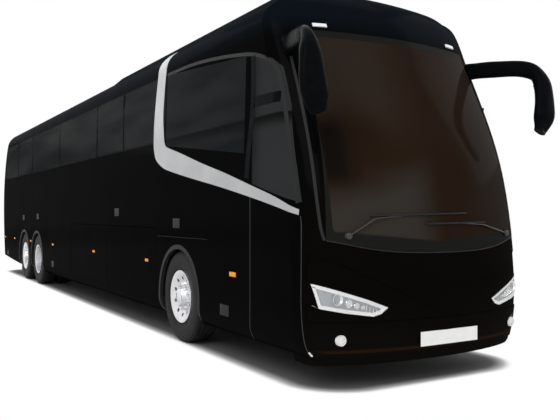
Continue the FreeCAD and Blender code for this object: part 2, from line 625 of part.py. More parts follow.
# chassis, hold floor, bulkheads and wheel housings
rails = []
for side, sign in (("right", -1), ("left", 1)):
    x0, x1 = (f"-rail_half - rail_width / 2", "-rail_half + rail_width / 2")
    if sign > 0:
        x0, x1 = "rail_half - rail_width / 2", "rail_half + rail_width / 2"
    rails.append(block(f"rail_front_{side}", x0, x1, f"{nose} + 160", f"{front_axle} + housing_half + 60",
                       "rail_low", "rail_low + rail_height"))
    rails.append(block(f"rail_rear_{side}", x0, x1, f"{drive_axle} - housing_half - 60",
                       f"{tail} - 620", "rail_low", "rail_low + rail_height"))
beams = [block(f"beam_{k}", "-rail_half", "rail_half", f"{place} - 40", f"{place} + 40", "rail_low",
               "rail_low + rail_height")
         for k, place in enumerate((f"({nose} + 200)", f"({front_axle} - 700)", front_axle,
                                    drive_axle, tag_axle, f"({tail} - 660)"))]
bulkheads = [block("bulkhead_front", f"-{inside}", inside, f"{front_axle} + housing_half",
                   f"{front_axle} + housing_half + 60", "skirt_height + tuck_rise",
                   "floor_height - floor_thickness"),
             block("bulkhead_rear", f"-{inside}", inside, f"{drive_axle} - housing_half - 60",
                   f"{drive_axle} - housing_half", "skirt_height + tuck_rise",
                   "floor_height - floor_thickness")]
hold = block("hold_floor", f"-{inside}", inside, f"{front_axle} + housing_half",
             f"{drive_axle} - housing_half", "skirt_height + tuck_rise",
             "skirt_height + tuck_rise + hold_thickness")
posts = [block(f"post_{k}_{side}", x, f"{x} + 60", f"{place} - 40", f"{place} + 40",
               "rail_low + rail_height", low)
         for side, x in (("right", "(-rail_half - 30)"), ("left", "(rail_half - 30)"))
         for k, (place, low) in enumerate(((f"({nose} + 800)", "cab_floor - 40"),
                                           (front_axle, "floor_height - floor_thickness"),
                                           (drive_axle, "floor_height - floor_thickness"),
                                           (f"({tail} - 900)", "floor_height - floor_thickness")))]
chassis_frame = keep(fuse("chassis_frame", *rails, *beams, *bulkheads, hold, *posts),
                     "chassis_frame")


def housing(name, sign, y0, y1):
    """A wheel housing: top and inner side of folded sheet, open outwards and down."""
    t = s.sheet_metal
    low, high = s.skirt_height + s.tuck_rise, s.housing_top
    shoulder = 250

    def outline(d):
        return [(y0 + d, low - (30 if d else 0)), (y0 + d, high - shoulder), (y0 + shoulder * 0.8, high - d),
                (y1 - shoulder * 0.8, high - d), (y1 - d, high - shoulder), (y1 - d, low - (30 if d else 0))]

    width = half_x - s.wall - s.housing_inner
    start = sign * s.housing_inner
    full = prism(f"{name}_full", outline(0), "YZ", start, sign * width)
    void = prism(f"{name}_void", outline(t), "YZ", start + sign * t, sign * (width + 50))
    return cut(name, full, void)


housings = []
for side, sign in (("right", -1), ("left", 1)):
    reach = s.housing_half - 0.5
    housings.append(housing(f"housing_front_{side}", sign, front_axle_y - reach, front_axle_y + reach))
    housings.append(housing(f"housing_rear_{side}", sign, drive_axle_y - reach, tag_axle_y + reach))
axle_notches = fuse("axle_notches", *[
    block(f"notch_{k}", "-housing_inner - 50", "housing_inner + 50", f"{place} - 150", f"{place} + 150",
          "0", "tyre_radius + 150") for k, place in enumerate((front_axle, drive_axle, tag_axle))])
wheel_housings = keep(cut("wheel_housings", group("housing_set", *housings), axle_notches),
                      "wheel_housings")

engine_block = keep(block("engine_block", "-380", "380", f"{tail} - 1900", f"{tail} - 700",
                          "skirt_height + 220", "floor_height - 250"), "engine_block")

# front axle: dropped beam with a boss for each kingpin
boss_right = cylinder("boss_right", "60", "180", "-kingpin_half", front_axle, "tyre_radius - 90", "Z")
boss_left = cylinder("boss_left", "60", "180", "kingpin_half", front_axle, "tyre_radius - 90", "Z")
beam_web = block("beam_web", "-kingpin_half + 20", "kingpin_half - 20", f"{front_axle} - 45",
                 f"{front_axle} + 45", "tyre_radius - 80", "tyre_radius + 20")
pin_holes = fuse("pin_holes", *[
    cylinder(f"pin_hole_{side}", "kingpin_radius + pin_clearance", "400", x, front_axle,
             "tyre_radius - 200", "Z")
    for side, x in (("right", "-kingpin_half"), ("left", "kingpin_half"))])
front_axle_beam = keep(cut("front_axle_beam", fuse("beam_solid", boss_right, boss_left, beam_web),
                           pin_holes), "front_axle_beam")


def knuckle_shape(name, sign):
    inner_x = "kingpin_half"
    pieces = [cylinder(f"{name}_pin", "kingpin_radius", "290", f"{sign} * kingpin_half", front_axle,
                       "tyre_radius - 145", "Z")]
    for k, low in enumerate(("tyre_radius - 145", "tyre_radius + 95")):
        x0, x1 = f"{inner_x} - 55", f"{inner_x} + 110"
        if sign < 0:
            x0, x1 = f"-({inner_x} + 110)", f"-({inner_x} - 55)"
        pieces.append(block(f"{name}_arm_{k}", x0, x1, f"{front_axle} - 50", f"{front_axle} + 50", low,
                            f"{low} + 50"))
    x0, x1 = f"{inner_x} + 70", f"{inner_x} + 110"
    if sign < 0:
        x0, x1 = f"-({inner_x} + 110)", f"-({inner_x} + 70)"
    pieces.append(block(f"{name}_web", x0, x1, f"{front_axle} - 50", f"{front_axle} + 50",
                        "tyre_radius - 145", "tyre_radius + 145"))
    start = f"{inner_x} + 105" if sign > 0 else f"-({inner_x} + 265)"
    pieces.append(cylinder(f"{name}_spindle", "spindle_radius", "160", start, front_axle,
                           "tyre_radius", "X"))
    return fuse(name, *pieces)


for side, sign in (("right", -1), ("left", 1)):
    keep(knuckle_shape(f"knuckle_{side}", sign), f"knuckle_{side}")

# drive and tag axles
drive_tube = cylinder("drive_tube", "80", "2 * (wheel_centre - tube_inset)", "tube_inset - wheel_centre",
                      drive_axle, "tyre_radius", "X")
drive_bowl = cylinder("drive_bowl", "190", "260", "-130", drive_axle, "tyre_radius", "X")
drive_ends = cylinder("drive_ends", "spindle_radius", "2 * (wheel_centre - drive_end_inset)",
                      "drive_end_inset - wheel_centre", drive_axle, "tyre_radius", "X")
drive_axle_piece = keep(fuse("drive_axle_casing", drive_tube, drive_bowl, drive_ends),
                        "drive_axle_casing")
tag_tube = cylinder("tag_tube", "70", "2 * (wheel_centre - tag_tube_inset)", "tag_tube_inset - wheel_centre",
                    tag_axle, "tyre_radius", "X")
tag_ends = cylinder("tag_ends", "spindle_radius", "2 * (wheel_centre + tag_end_reach)",
                    "-wheel_centre - tag_end_reach", tag_axle, "tyre_radius", "X")
tag_axle_piece = keep(fuse("tag_axle_beam", tag_tube, tag_ends), "tag_axle_beam")

bellows = []
for k, (place, low) in enumerate(((front_axle, "tyre_radius + 20"), (drive_axle, "tyre_radius + 80"),
                                  (tag_axle, "tyre_radius + 70"))):
    for side, x in (("right", "-rail_half"), ("left", "rail_half")):
        bellows.append(cylinder(f"bellows_{k}_{side}", "bellows_radius", f"rail_low - ({low})", x,
                                place, low, "Z"))
air_springs = keep(group("air_springs", *bellows), "air_springs")


# wheels, each revolved from an outline of distances along the axle and from its line


def origin_plane(body, role):
    return [item for item in body.Origin.OriginFeatures if item.Role == role][0]


def outline_sketch(body, name, role, points):
    sketch = body.newObject("Sketcher::SketchObject", name)
    sketch.AttachmentSupport = (origin_plane(body, role), [""])
    sketch.MapMode = "FlatFace"
    count = len(points)
    ring = [V(500 * math.cos(2 * math.pi * k / count) + 600, 500 * math.sin(2 * math.pi * k / count) + 600, 0)
            for k in range(count)]
    for k in range(count):
        sketch.addGeometry(Part.LineSegment(ring[k], ring[(k + 1) % count]), False)
    for k in range(count):
        sketch.addConstraint(Sketcher.Constraint("Coincident", k, 2, (k + 1) % count, 1))
    for k, (across, up) in enumerate(points):
        at = sketch.addConstraint(Sketcher.Constraint("DistanceX", -1, 1, k, 1, ring[k].x))
        bind(sketch, f"Constraints[{at}]", across)
        at = sketch.addConstraint(Sketcher.Constraint("DistanceY", -1, 1, k, 1, ring[k].y))
        bind(sketch, f"Constraints[{at}]", up)
    return sketch


def revolved(name, points):
    """An outline on the body's XY plane, turned about its X axis."""
    body = doc.addObject("PartDesign::Body", name)
    sketch = outline_sketch(body, f"{name}_outline", "XY_Plane", points)
    turn = body.newObject("PartDesign::Revolution", f"{name}_turn")
    turn.Profile = sketch
    turn.ReferenceAxis = (sketch, ["H_Axis"])
    turn.Angle = 360
    body.Tip = turn
    return body


# distances run outwards from the wheel's centre plane plus one tyre width, so that all are positive
mid = "(tyre_width + 200)"
face = f"({mid} + rim_face - wheel_centre)"


def tyre_outline(centre):
    return [(f"{centre} - tyre_width / 2", "rim_radius + tyre_seat_gap"),
            (f"{centre} + tyre_width / 2", "rim_radius + tyre_seat_gap"),
            (f"{centre} + tyre_width / 2", "tyre_radius"),
            (f"{centre} - tyre_width / 2", "tyre_radius")]


def single_rim_outline():
    disc = f"({face} - rim_dish)"
    return [(f"{mid} - tyre_width / 2 + 12", "rim_radius"), (face, "rim_radius"),
            (f"{face} - 6", "barrel_bore"), (disc, "hub_radius + 50"), (disc, "hub_radius"),
            (f"{disc} + hub_reach + 30", "hub_radius - 25"), (f"{disc} + hub_reach + 30", "0"),
            (f"{disc} - 30", "0"), (f"{disc} - 30", "spindle_radius + pin_clearance"),
            (f"{mid} - 60", "spindle_radius + pin_clearance"), (f"{mid} - 60", "hub_radius"),
            (f"{disc} - disc_thickness", "hub_radius + 30"),
            (f"{face} - 60", "barrel_bore - 6"),
            (f"{mid} - tyre_width / 2 + 12", "barrel_bore")]


def twin_rim_outline():
    disc = f"({face} - twin_dish)"
    inner_edge = f"({mid} - twin_spacing - tyre_width / 2 + 12)"
    return [(inner_edge, "rim_radius"), (face, "rim_radius"), (f"{face} - 6", "barrel_bore"),
            (f"{disc} + 60", "barrel_bore - 15"), (disc, "hub_radius + 60"), (disc, "hub_radius"),
            (f"{disc} + 200", "hub_radius - 20"), (f"{disc} + 200", "0"), (f"{disc} + 100", "0"),
            (f"{disc} + 100", "spindle_radius + pin_clearance"),
            (f"{disc} - 110", "spindle_radius + pin_clearance"), (f"{disc} - 110", "hub_radius + 40"),
            (f"{disc} - disc_thickness", "hub_radius + 40"),
            (f"{disc} - disc_thickness + 40", "barrel_bore - 12"), (inner_edge, "barrel_bore")]


def wheel_copy(name, master, sign, axle):
    """A wheel piece put on its side of its axle."""
    source = master if sign > 0 else mirror(f"{name}_mirror", master)
    obj = doc.addObject("Part::Compound", name)
    obj.Links = [source]
    shift = f"wheel_centre - {mid}" if sign > 0 else f"-(wheel_centre - {mid})"
    bind(obj, "Placement.Base.x", shift)
    bind(obj, "Placement.Base.y", axle)
    bind(obj, "Placement.Base.z", "tyre_radius")
    return keep(obj, name)


tyre_master = revolved("tyre_master", tyre_outline(mid))
inner_tyre_master = revolved("inner_tyre_master", tyre_outline(f"({mid} - twin_spacing)"))
twin_tyres = group("twin_tyres", tyre_master, inner_tyre_master)
single_disc = revolved("single_disc", single_rim_outline())
twin_disc = revolved("twin_disc", twin_rim_outline())
doc.recompute()


def hand_holes(name, start):
    """A ring of holes through a rim's disc."""
    holes = []
    for k in range(int(s.hand_holes)):
        turn = 2 * math.pi * (k + 0.5) / s.hand_holes
        holes.append(cylinder(f"{name}_{k}", "hand_hole_radius", "130", start,
                              f"hand_hole_ring * {math.cos(turn):.6f}",
                              f"hand_hole_ring * {math.sin(turn):.6f}", "X"))
    return fuse(name, *holes)


single_rim = cut("single_rim", single_disc, hand_holes("single_holes", f"{face} - 110"))
twin_rim = cut("twin_rim", twin_disc, hand_holes("twin_holes", f"{face} - twin_dish - 60"))
doc.recompute()

for side, sign in (("right", -1), ("left", 1)):
    for place, axle, tyre, rim in (("front", front_axle, tyre_master, single_rim),
                                   ("drive", drive_axle, twin_tyres, twin_rim),
                                   ("tag", tag_axle, tyre_master, single_rim)):
        wheel_copy(f"{place}_tyre_{side}", tyre, sign, axle)
        wheel_copy(f"{place}_rim_{side}", rim, sign, axle)

# entrance door's turning post, which stands on the first step, and its cranked arms
post_x, post_y = half_x - 175, nose_y + s.entrance_front + 60
crank = [(0, 0), (-100, 70), (-100, 280), (-28, 410)]
arm_line = [V(post_x + a, post_y + b, 0) for a, b in crank]
pivot = arm_line[-1]


def crank_arm(z):
    pieces = [Part.makeCylinder(20, 40, pivot + V(0, 0, z))]
    for p, q in zip(arm_line, arm_line[1:]):
        along = (q - p).normalize()
        across = V(-along.y, along.x, 0) * 18
        flat = Part.Face(Part.makePolygon([p - across, q - across, q + across, p + across, p - across]))
        flat.translate(V(0, 0, z))
        pieces.append(flat.extrude(V(0, 0, 40)))
        pieces.append(Part.makeCylinder(18, 40, q + V(0, 0, z)))
    arm = pieces[0].fuse(pieces[1:]).removeSplitter()
    return arm.cut(Part.makeCylinder(s.arm_pin + s.pin_clearance, 60, pivot + V(0, 0, z - 10)))


def leaf_bracket(z):
    """Bracket on the leaf over an arm's end, with the pin that the arm turns on."""
    plate = Part.makeBox(half_x - s.wall + 5 - pivot.x + 20, 40, 20,
                         V(pivot.x - 20, pivot.y - 20, z + 40 + s.roof_gap))
    pin = Part.makeCylinder(s.arm_pin, 70, pivot + V(0, 0, z - 10))
    return plate.fuse(pin)


arm_heights = (s.cab_floor - 160, s.entrance_top - 290)
post_low = s.first_step + s.roof_gap
door_post = Part.makeCylinder(22, s.entrance_top - s.roof_gap - post_low, V(post_x, post_y, post_low))
door_arm = door_post.fuse([crank_arm(z) for z in arm_heights])
keep(solid("entrance_door_arm", door_arm), "entrance_door_arm")
leaf_brackets = solid("leaf_brackets", Part.Compound([leaf_bracket(z) for z in arm_heights]))
entrance_door = keep(fuse("entrance_door", cut("leaf_less_glass", leaf_raw, leaf_glass), leaf_brackets),
                     "entrance_door")

# mirrors on curved arms


# stations along a mirror, from its root: distance from the side, from the nose and from the screen's
# top, direction of travel, then half height (or depth, on the head) and half width
mirror_line = [(-165, 930, -158, (0.30, -0.95, 0.0), 84, 36), (-125, 795, -164, (0.30, -0.95, -0.02), 84, 36),
               (-85, 660, -170, (0.30, -0.95, -0.04), 84, 36), (-40, 505, -184, (0.29, -0.95, -0.08), 82, 37),
               (5, 350, -202, (0.28, -0.95, -0.14), 80, 38), (60, 195, -257, (0.22, -0.80, -0.55), 76, 50),
               (82, 118, -350, (0.05, -0.35, -0.93), 66, 84), (86, 84, -480, (0.0, -0.10, -1.0), 58, 106),
               (80, 70, -630, (-0.04, 0.0, -1.0), 56, 122), (54, 70, -765, (-0.22, 0.0, -0.97), 52, 112),
               (10, 74, -868, (-0.42, 0.0, -0.9), 38, 66)]


def mirror_piece(sign):
    """One moulding: an arm from the screen's top corner that curves down into the mirror's head."""
    rings = []
    for out, back, rise, travel, tall, across in mirror_line:
        centre = V(sign * (half_x + out), nose_y + back, s.screen_top + rise)
        way = V(sign * travel[0], travel[1], travel[2]).normalize()
        side_way = way.cross(V(0, 0, 1)) if abs(way.z) < 0.8 else V(0, 1, 0).cross(way)
        if side_way.x < 0:
            side_way = -side_way
        side_way.normalize()
        up_way = side_way.cross(way).normalize()
        if up_way.z - up_way.y < 0:
            up_way = -up_way
        ring = []
        for k in range(12):
            angle = math.pi * k / 6
            c, d = math.cos(angle), math.sin(angle)
            ring.append(centre + up_way * (tall * math.copysign(abs(c) ** 0.8, c))
                        + side_way * (across * math.copysign(abs(d) ** 0.8, d)))
        loop = Part.BSplineCurve()
        loop.interpolate(ring, PeriodicFlag=True)
        rings.append(Part.Wire(loop.toShape()))
    return Part.makeLoft(rings, True, False)


for side, sign in (("right", -1), ("left", 1)):
    arm = mirror_piece(sign)
    keep(solid(f"mirror_{side}", arm.cut(body_form(-s.roof_gap, s.skirt_height))), f"mirror_{side}")

# steering wheel and its column
wheel_rim = doc.addObject("Part::Torus", "wheel_rim")
wheel_rim.Radius1 = 210
wheel_rim.Radius2 = 16
hub = V(-680, nose_y + 930, s.cab_floor + 620)
wheel_rim.Placement = FreeCAD.Placement(hub, FreeCAD.Rotation(V(1, 0, 0), 25))
column = Part.makeCylinder(32, 400, hub, V(0, -0.42, -0.91))
spoke = Part.makeCylinder(14, 400, hub - V(200, 0, 0), V(1, 0, 0))
steering = solid("steering_parts", column.fuse(spoke))
keep(cut("steering_wheel", fuse("wheel_and_column", wheel_rim, steering), dashboard), "steering_wheel")

doc.recompute()
for obj in doc.Objects:
    if "Invalid" in obj.State or "Error" in obj.State:
        raise RuntimeError(f"{obj.Name} did not build: {obj.State}")
os.makedirs("parts", exist_ok=True)
for obj in parts:
    shape = obj.Shape
    if shape.isNull() or not shape.isValid() or not shape.Solids:
        raise RuntimeError(f"{obj.Label} has no valid solid")
for obj in parts:
    obj.Shape.exportStep(f"parts/{obj.Label}.step")
print(len(parts), "parts written")
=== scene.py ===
import bpy
import bmesh
import json
import math
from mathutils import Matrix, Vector
from mathutils.bvhtree import BVHTree


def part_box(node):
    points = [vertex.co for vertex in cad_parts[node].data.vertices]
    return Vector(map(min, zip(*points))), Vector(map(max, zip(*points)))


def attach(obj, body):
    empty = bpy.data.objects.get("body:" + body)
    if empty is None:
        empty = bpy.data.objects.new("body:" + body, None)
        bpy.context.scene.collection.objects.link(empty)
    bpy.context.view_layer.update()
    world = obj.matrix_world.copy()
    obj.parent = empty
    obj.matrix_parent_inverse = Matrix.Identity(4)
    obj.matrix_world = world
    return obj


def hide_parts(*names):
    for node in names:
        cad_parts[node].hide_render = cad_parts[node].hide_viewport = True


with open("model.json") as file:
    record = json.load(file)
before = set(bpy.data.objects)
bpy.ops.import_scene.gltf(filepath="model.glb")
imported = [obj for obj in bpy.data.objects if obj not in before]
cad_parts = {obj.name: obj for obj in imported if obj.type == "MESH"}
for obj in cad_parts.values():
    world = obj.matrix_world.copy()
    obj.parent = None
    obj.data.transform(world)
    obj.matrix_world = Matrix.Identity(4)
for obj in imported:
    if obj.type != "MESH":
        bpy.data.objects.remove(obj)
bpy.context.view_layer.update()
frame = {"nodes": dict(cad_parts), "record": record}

nodes = frame["nodes"]
print("frame loaded")


def middle(node):
    low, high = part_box(node)
    return (low + high) / 2


# sizes of the coach in metres, and places read from the frame
coach = {"half": 1.275, "nose": -7.49, "archRadius": 0.59, "archCentre": 0.512,
         "axleHeight": middle("front_tyre_right").z}
axles = {axle: middle(f"{axle}_tyre_right").y for axle in ("front", "drive", "tag")}
sides = {"Right": -1, "Left": 1}

# modelling helpers


def clearPick():
    if bpy.context.mode != "OBJECT":
        bpy.ops.object.mode_set(mode="OBJECT")
    bpy.ops.object.select_all(action="DESELECT")


def activate(piece):
    clearPick()
    piece.select_set(True)
    bpy.context.view_layer.objects.active = piece


def startPiece(kind, name, scale=(1, 1, 1), **size):
    # a primitive at its size and place, left open in edit mode
    clearPick()
    getattr(bpy.ops.mesh, "primitive_" + kind + "_add")(**size)
    piece = bpy.context.object
    piece.name = name
    piece.data.name = name
    piece.scale = scale
    bpy.ops.object.transform_apply(location=True, rotation=True, scale=True)
    bpy.ops.object.mode_set(mode="EDIT")
    return piece


def selectAll():
    bpy.ops.mesh.select_all(action="SELECT")


def openPiece(piece):
    activate(piece)
    bpy.ops.object.mode_set(mode="EDIT")
    selectAll()


def block(name, sizes, place, cuts=0, turn=(0, 0, 0)):
    # a cube at its size and place, cut up evenly, left open in edit mode
    piece = startPiece("cube", name, sizes, size=1, location=place, rotation=turn)
    if cuts:
        selectAll()
        bpy.ops.mesh.subdivide(number_cuts=cuts)
    return piece


def pick(piece, rule, what="faces"):
    # selects the faces, edges or vertices that the rule takes
    bpy.ops.mesh.select_mode(type={"faces": "FACE", "edges": "EDGE", "verts": "VERT"}[what])
    bpy.ops.mesh.select_all(action="DESELECT")
    shape = bmesh.from_edit_mesh(piece.data)
    for item in getattr(shape, what):
        if rule(item):
            item.select_set(True)
    shape.select_flush_mode()
    bmesh.update_edit_mesh(piece.data)


def pull(step):
    bpy.ops.mesh.extrude_region_move(TRANSFORM_OT_translate={"value": tuple(step)})


def traceLine(name, points):
    # one vertex drawn out along the points
    piece = startPiece("plane", name, size=0.01, location=points[0])
    bpy.ops.mesh.select_mode(type="VERT")
    bpy.ops.mesh.merge(type="CENTER")
    for here, there in zip(points, points[1:]):
        pull(Vector(there) - Vector(here))
    return piece


def sheetThrough(name, lines):
    # a sheet whose rows run through lines with as many points each
    piece = traceLine(name, lines[0])
    selectAll()
    for line, nextLine in zip(lines, lines[1:]):
        step = sum((b - a for a, b in zip(line, nextLine)), Vector()) / len(line)
        pull(step)
        shape = bmesh.from_edit_mesh(piece.data)
        for vertex in [vertex for vertex in shape.verts if vertex.select]:
            start = vertex.co - step
            vertex.co = nextLine[min(range(len(line)), key=lambda k: (line[k] - start).length_squared)]
        bmesh.update_edit_mesh(piece.data)
    return piece


def rowsBetween(first, last, cuts):
    return [[a.lerp(b, k / (cuts + 1)) for a, b in zip(first, last)] for k in range(cuts + 2)]


def lathe(name, profile, centre, axis, steps):
    # profile gives (distance along the axis, radius)
    centre = Vector(centre)
    along = Vector((1, 0, 0) if axis == "X" else (0, 1, 0))
    piece = traceLine(name, [centre + along * a + Vector((0, 0, r)) for a, r in profile])
    selectAll()
    bpy.ops.mesh.spin(steps=steps, angle=math.tau, center=centre, axis=along)
    tidyMesh()
    return piece


def tidyMesh(gap=1e-5):
    selectAll()
    bpy.ops.mesh.remove_doubles(threshold=gap)
    bpy.ops.mesh.normals_make_consistent(inside=False)


def roundEdges(piece, width, segments=2, sharp=0.6):
    # edges whose faces turn by more than the sharp angle
    pick(piece, lambda edge: len(edge.link_faces) == 2 and edge.calc_face_angle() > sharp, "edges")
    bpy.ops.mesh.bevel(offset=width, segments=segments, affect="EDGES")


def bar(name, start, end, width, height):
    # a slim bar with rounded edges between two points
    along = end - start
    piece = block(name, (along.length, width, height), (start + end) / 2,
                  turn=along.to_track_quat("X", "Z").to_euler())
    roundEdges(piece, min(width, height) * 0.3)
    bpy.ops.object.mode_set(mode="OBJECT")
    return piece


def closedCord(name, points, radius):
    # a round cord that runs through the points and back to its start, made a mesh
    clearPick()
    line = bpy.data.curves.new(name, "CURVE")
    line.dimensions = "3D"
    line.bevel_depth = radius
    line.bevel_resolution = 1
    line.resolution_u = 3
    run = line.splines.new("NURBS")
    run.points.add(len(points) - 1)
    for spot, point in zip(run.points, points):
        spot.co = (*point, 1)
    run.order_u = 3
    run.use_cyclic_u = True
    piece = bpy.data.objects.new(name, line)
    bpy.context.scene.collection.objects.link(piece)
    activate(piece)
    bpy.ops.object.convert(target="MESH")
    return bpy.context.object


def useModifier(piece, kind, **settings):
    activate(piece)
    modifier = piece.modifiers.new(kind, kind)
    for key, value in settings.items():
        setattr(modifier, key, value)
    bpy.ops.object.modifier_apply(modifier=modifier.name)


def thicken(piece, thickness, offset):
    useModifier(piece, "SOLIDIFY", thickness=thickness, offset=offset)


def copyPiece(piece, name, shift=(0, 0, 0)):
    # a copy with its own mesh, moved in that mesh
    clearPick()
    twin = piece.copy()
    twin.data = piece.data.copy()
    twin.name = name
    twin.data.name = name
    twin.parent = None
    bpy.context.scene.collection.objects.link(twin)
    openPiece(twin)
    bpy.ops.transform.translate(value=tuple(shift))
    bpy.ops.object.mode_set(mode="OBJECT")
    return twin


def joinPieces(pieces, name):
    activate(pieces[0])
    for piece in pieces:
        piece.select_set(True)
    if len(pieces) > 1:
        bpy.ops.object.join()
    whole = bpy.context.object
    whole.name = name
    whole.data.name = name
    return whole


def nodeSkin(node, name, rule):
    # the faces of a CAD node's copy that the rule takes, merged
    clearPick()
    piece = bpy.data.objects.new(name, nodes[node].data.copy())
    piece.data.name = name
    bpy.context.scene.collection.objects.link(piece)
    openPiece(piece)
    tidyMesh(1e-4)
    pick(piece, lambda face: not rule(face))
    bpy.ops.mesh.delete(type="FACE")
    bpy.ops.mesh.customdata_custom_splitnormals_clear()
    return piece


def finishPiece(piece, finish, angle=35, body="coach_body"):
    # its place applied, its finish, its smoothing, and the body that it goes with
    activate(piece)
    bpy.ops.object.transform_apply(location=True, rotation=True, scale=True)
    piece.data.materials.clear()
    piece.data.materials.append(finishes[finish].material)
    bpy.ops.object.shade_smooth_by_angle(angle=math.radians(angle))
    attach(piece, body)


# the skin that trims are laid on

skinNodes = ["front_cap", "front_mask", "front_bumper", "windscreen", "driver_window", "headlamps",
             "roof_shell", "roof_pod", "exit_door", "entrance_door", "entrance_glass",
             "rear_panel", "rear_window", "engine_door"]
for side in ("right", "left"):
    skinNodes += [f"corner_panel_{side}", f"side_wall_{side}", f"side_windows_{side}"]
    skinNodes += [f"luggage_flap_{side}_1", f"luggage_flap_{side}_2"]


def treeOf(shapes):
    # the meshes as one surface for rays and nearest points
    corners, faces = [], []
    for shape in shapes:
        start = len(corners)
        corners += [vertex.co.copy() for vertex in shape.vertices]
        faces += [[start + k for k in face.vertices] for face in shape.polygons]
    return BVHTree.FromPolygons(corners, faces)


skin = treeOf([nodes[name].data for name in skinNodes])


def onSide(y, z, side, lift=0.0):
    # a point of the side's skin; a door's gap takes the place of its neighbour
    for shift in (0, 0.012, -0.012, 0.03, -0.03):
        hit = skin.ray_cast(Vector((side * 2.5, y + shift, z)), Vector((-side, 0, 0)))
        if hit[0] is not None and abs(hit[0].x) > 0.75:
            return Vector((hit[0].x + side * lift, y, z))
    return Vector((side * (coach["half"] + lift), y, z))


def overSide(y, z, side, lift=0.0):
    # the outermost point about a place of the side, over the gaps between panes
    spots = [onSide(y + shift, z, side, lift) for shift in (-0.03, -0.015, 0, 0.015, 0.03)]
    return Vector((side * max(abs(spot.x) for spot in spots), y, z))


def onFront(x, z, lift=0.0):
    hit = skin.ray_cast(Vector((x, -9, z)), Vector((0, 1, 0)))
    return Vector((x, hit[0].y - lift, z))


def onTail(x, z, lift=0.0):
    hit = skin.ray_cast(Vector((x, 9, z)), Vector((0, -1, 0)))
    return Vector((x, hit[0].y + lift, z))


def onRoof(x, y):
    return skin.ray_cast(Vector((x, y, 6)), Vector((0, 0, -1)))[0]


def smoothLine(points, count):
    # evenly spaced points of a smooth curve through the given ones, flat or in space
    points = [Vector(point) for point in points]
    if len(points) == 2:
        return [points[0].lerp(points[1], k / (count - 1)) for k in range(count)]
    dense = []
    ends = [2 * points[0] - points[1]] + points + [2 * points[-1] - points[-2]]
    for p, q, r, t in zip(ends, ends[1:], ends[2:], ends[3:]):
        for k in range(16):
            u = k / 16
            dense.append(0.5 * ((2 * q) + (r - p) * u + (2 * p - 5 * q + 4 * r - t) * u * u
                                + (3 * q - p - 3 * r + t) * u ** 3))
    dense.append(points[-1])
    lengths = [0]
    for a, b in zip(dense, dense[1:]):
        lengths.append(lengths[-1] + (b - a).length)
    line, at = [], 0
    for k in range(count):
        goal = lengths[-1] * k / (count - 1)
        while at < len(dense) - 2 and lengths[at + 1] < goal:
            at += 1
        span = max(lengths[at + 1] - lengths[at], 1e-9)
        line.append(dense[at].lerp(dense[at + 1], min(1, (goal - lengths[at]) / span)))
    return line


trimSize = {"lift": 0.0006, "thickness": 0.0015}


def skinStrip(name, first, second, thickness, cuts, place=None):
    # a thin trim between two lines, laid on the skin or where place puts its points
    piece = sheetThrough(name, rowsBetween(first, second, cuts))
    shape = bmesh.from_edit_mesh(piece.data)
    shape.normal_update()
    for vertex in shape.verts:
        near = skin.find_nearest(vertex.co)
        vertex.co = place(vertex.co) if place else near[0] + near[1] * trimSize["lift"]
    bmesh.update_edit_mesh(piece.data)
    selectAll()
    bpy.ops.mesh.normals_make_consistent(inside=False)
    shape = bmesh.from_edit_mesh(piece.data)
    shape.faces.ensure_lookup_table()
    face = shape.faces[len(shape.faces) // 2]
    if face.normal.dot(skin.find_nearest(face.calc_center_median())[1]) < 0:
        bpy.ops.mesh.flip_normals()
    thicken(piece, thickness, 1)
    return piece


def trimStrip(name, line, width, place, count):
    # a flat trim along a line that the place function puts on the skin
    flat = smoothLine(line, count)
    first, second = [], []
    for k, point in enumerate(flat):
        ahead = flat[min(k + 1, count - 1)] - flat[max(k - 1, 0)]
        across = Vector((ahead.y, -ahead.x)).normalized() * (width / 2)
        first.append(place(*(point + across)))
        second.append(place(*(point - across)))
    return skinStrip(name, first, second, trimSize["thickness"], 0)


def sideStrip(name, line, width, side, count=30):
    return trimStrip(name, line, width, lambda y, z: onSide(y, z, side), count)


print("helpers ready")

# materials


class Wire:
    # a shader socket that takes part in arithmetic

    def __init__(self, finish, socket):
        self.finish = finish
        self.socket = socket

    def maths(self, operation, first, second=0.0):
        return self.finish.node("ShaderNodeMath", {"operation": operation}, {0: first, 1: second})

    def __add__(self, other):
        return self.maths("ADD", self, other)

    __radd__ = __add__

    def __sub__(self, other):
        return self.maths("SUBTRACT", self, other)

    def __rsub__(self, other):
        return self.maths("SUBTRACT", other, self)

    def __mul__(self, other):
        return self.maths("MULTIPLY", self, other)

    __rmul__ = __mul__

    def __lt__(self, other):
        return self.maths("LESS_THAN", self, other)

    def __abs__(self):
        return self.maths("ABSOLUTE", self)


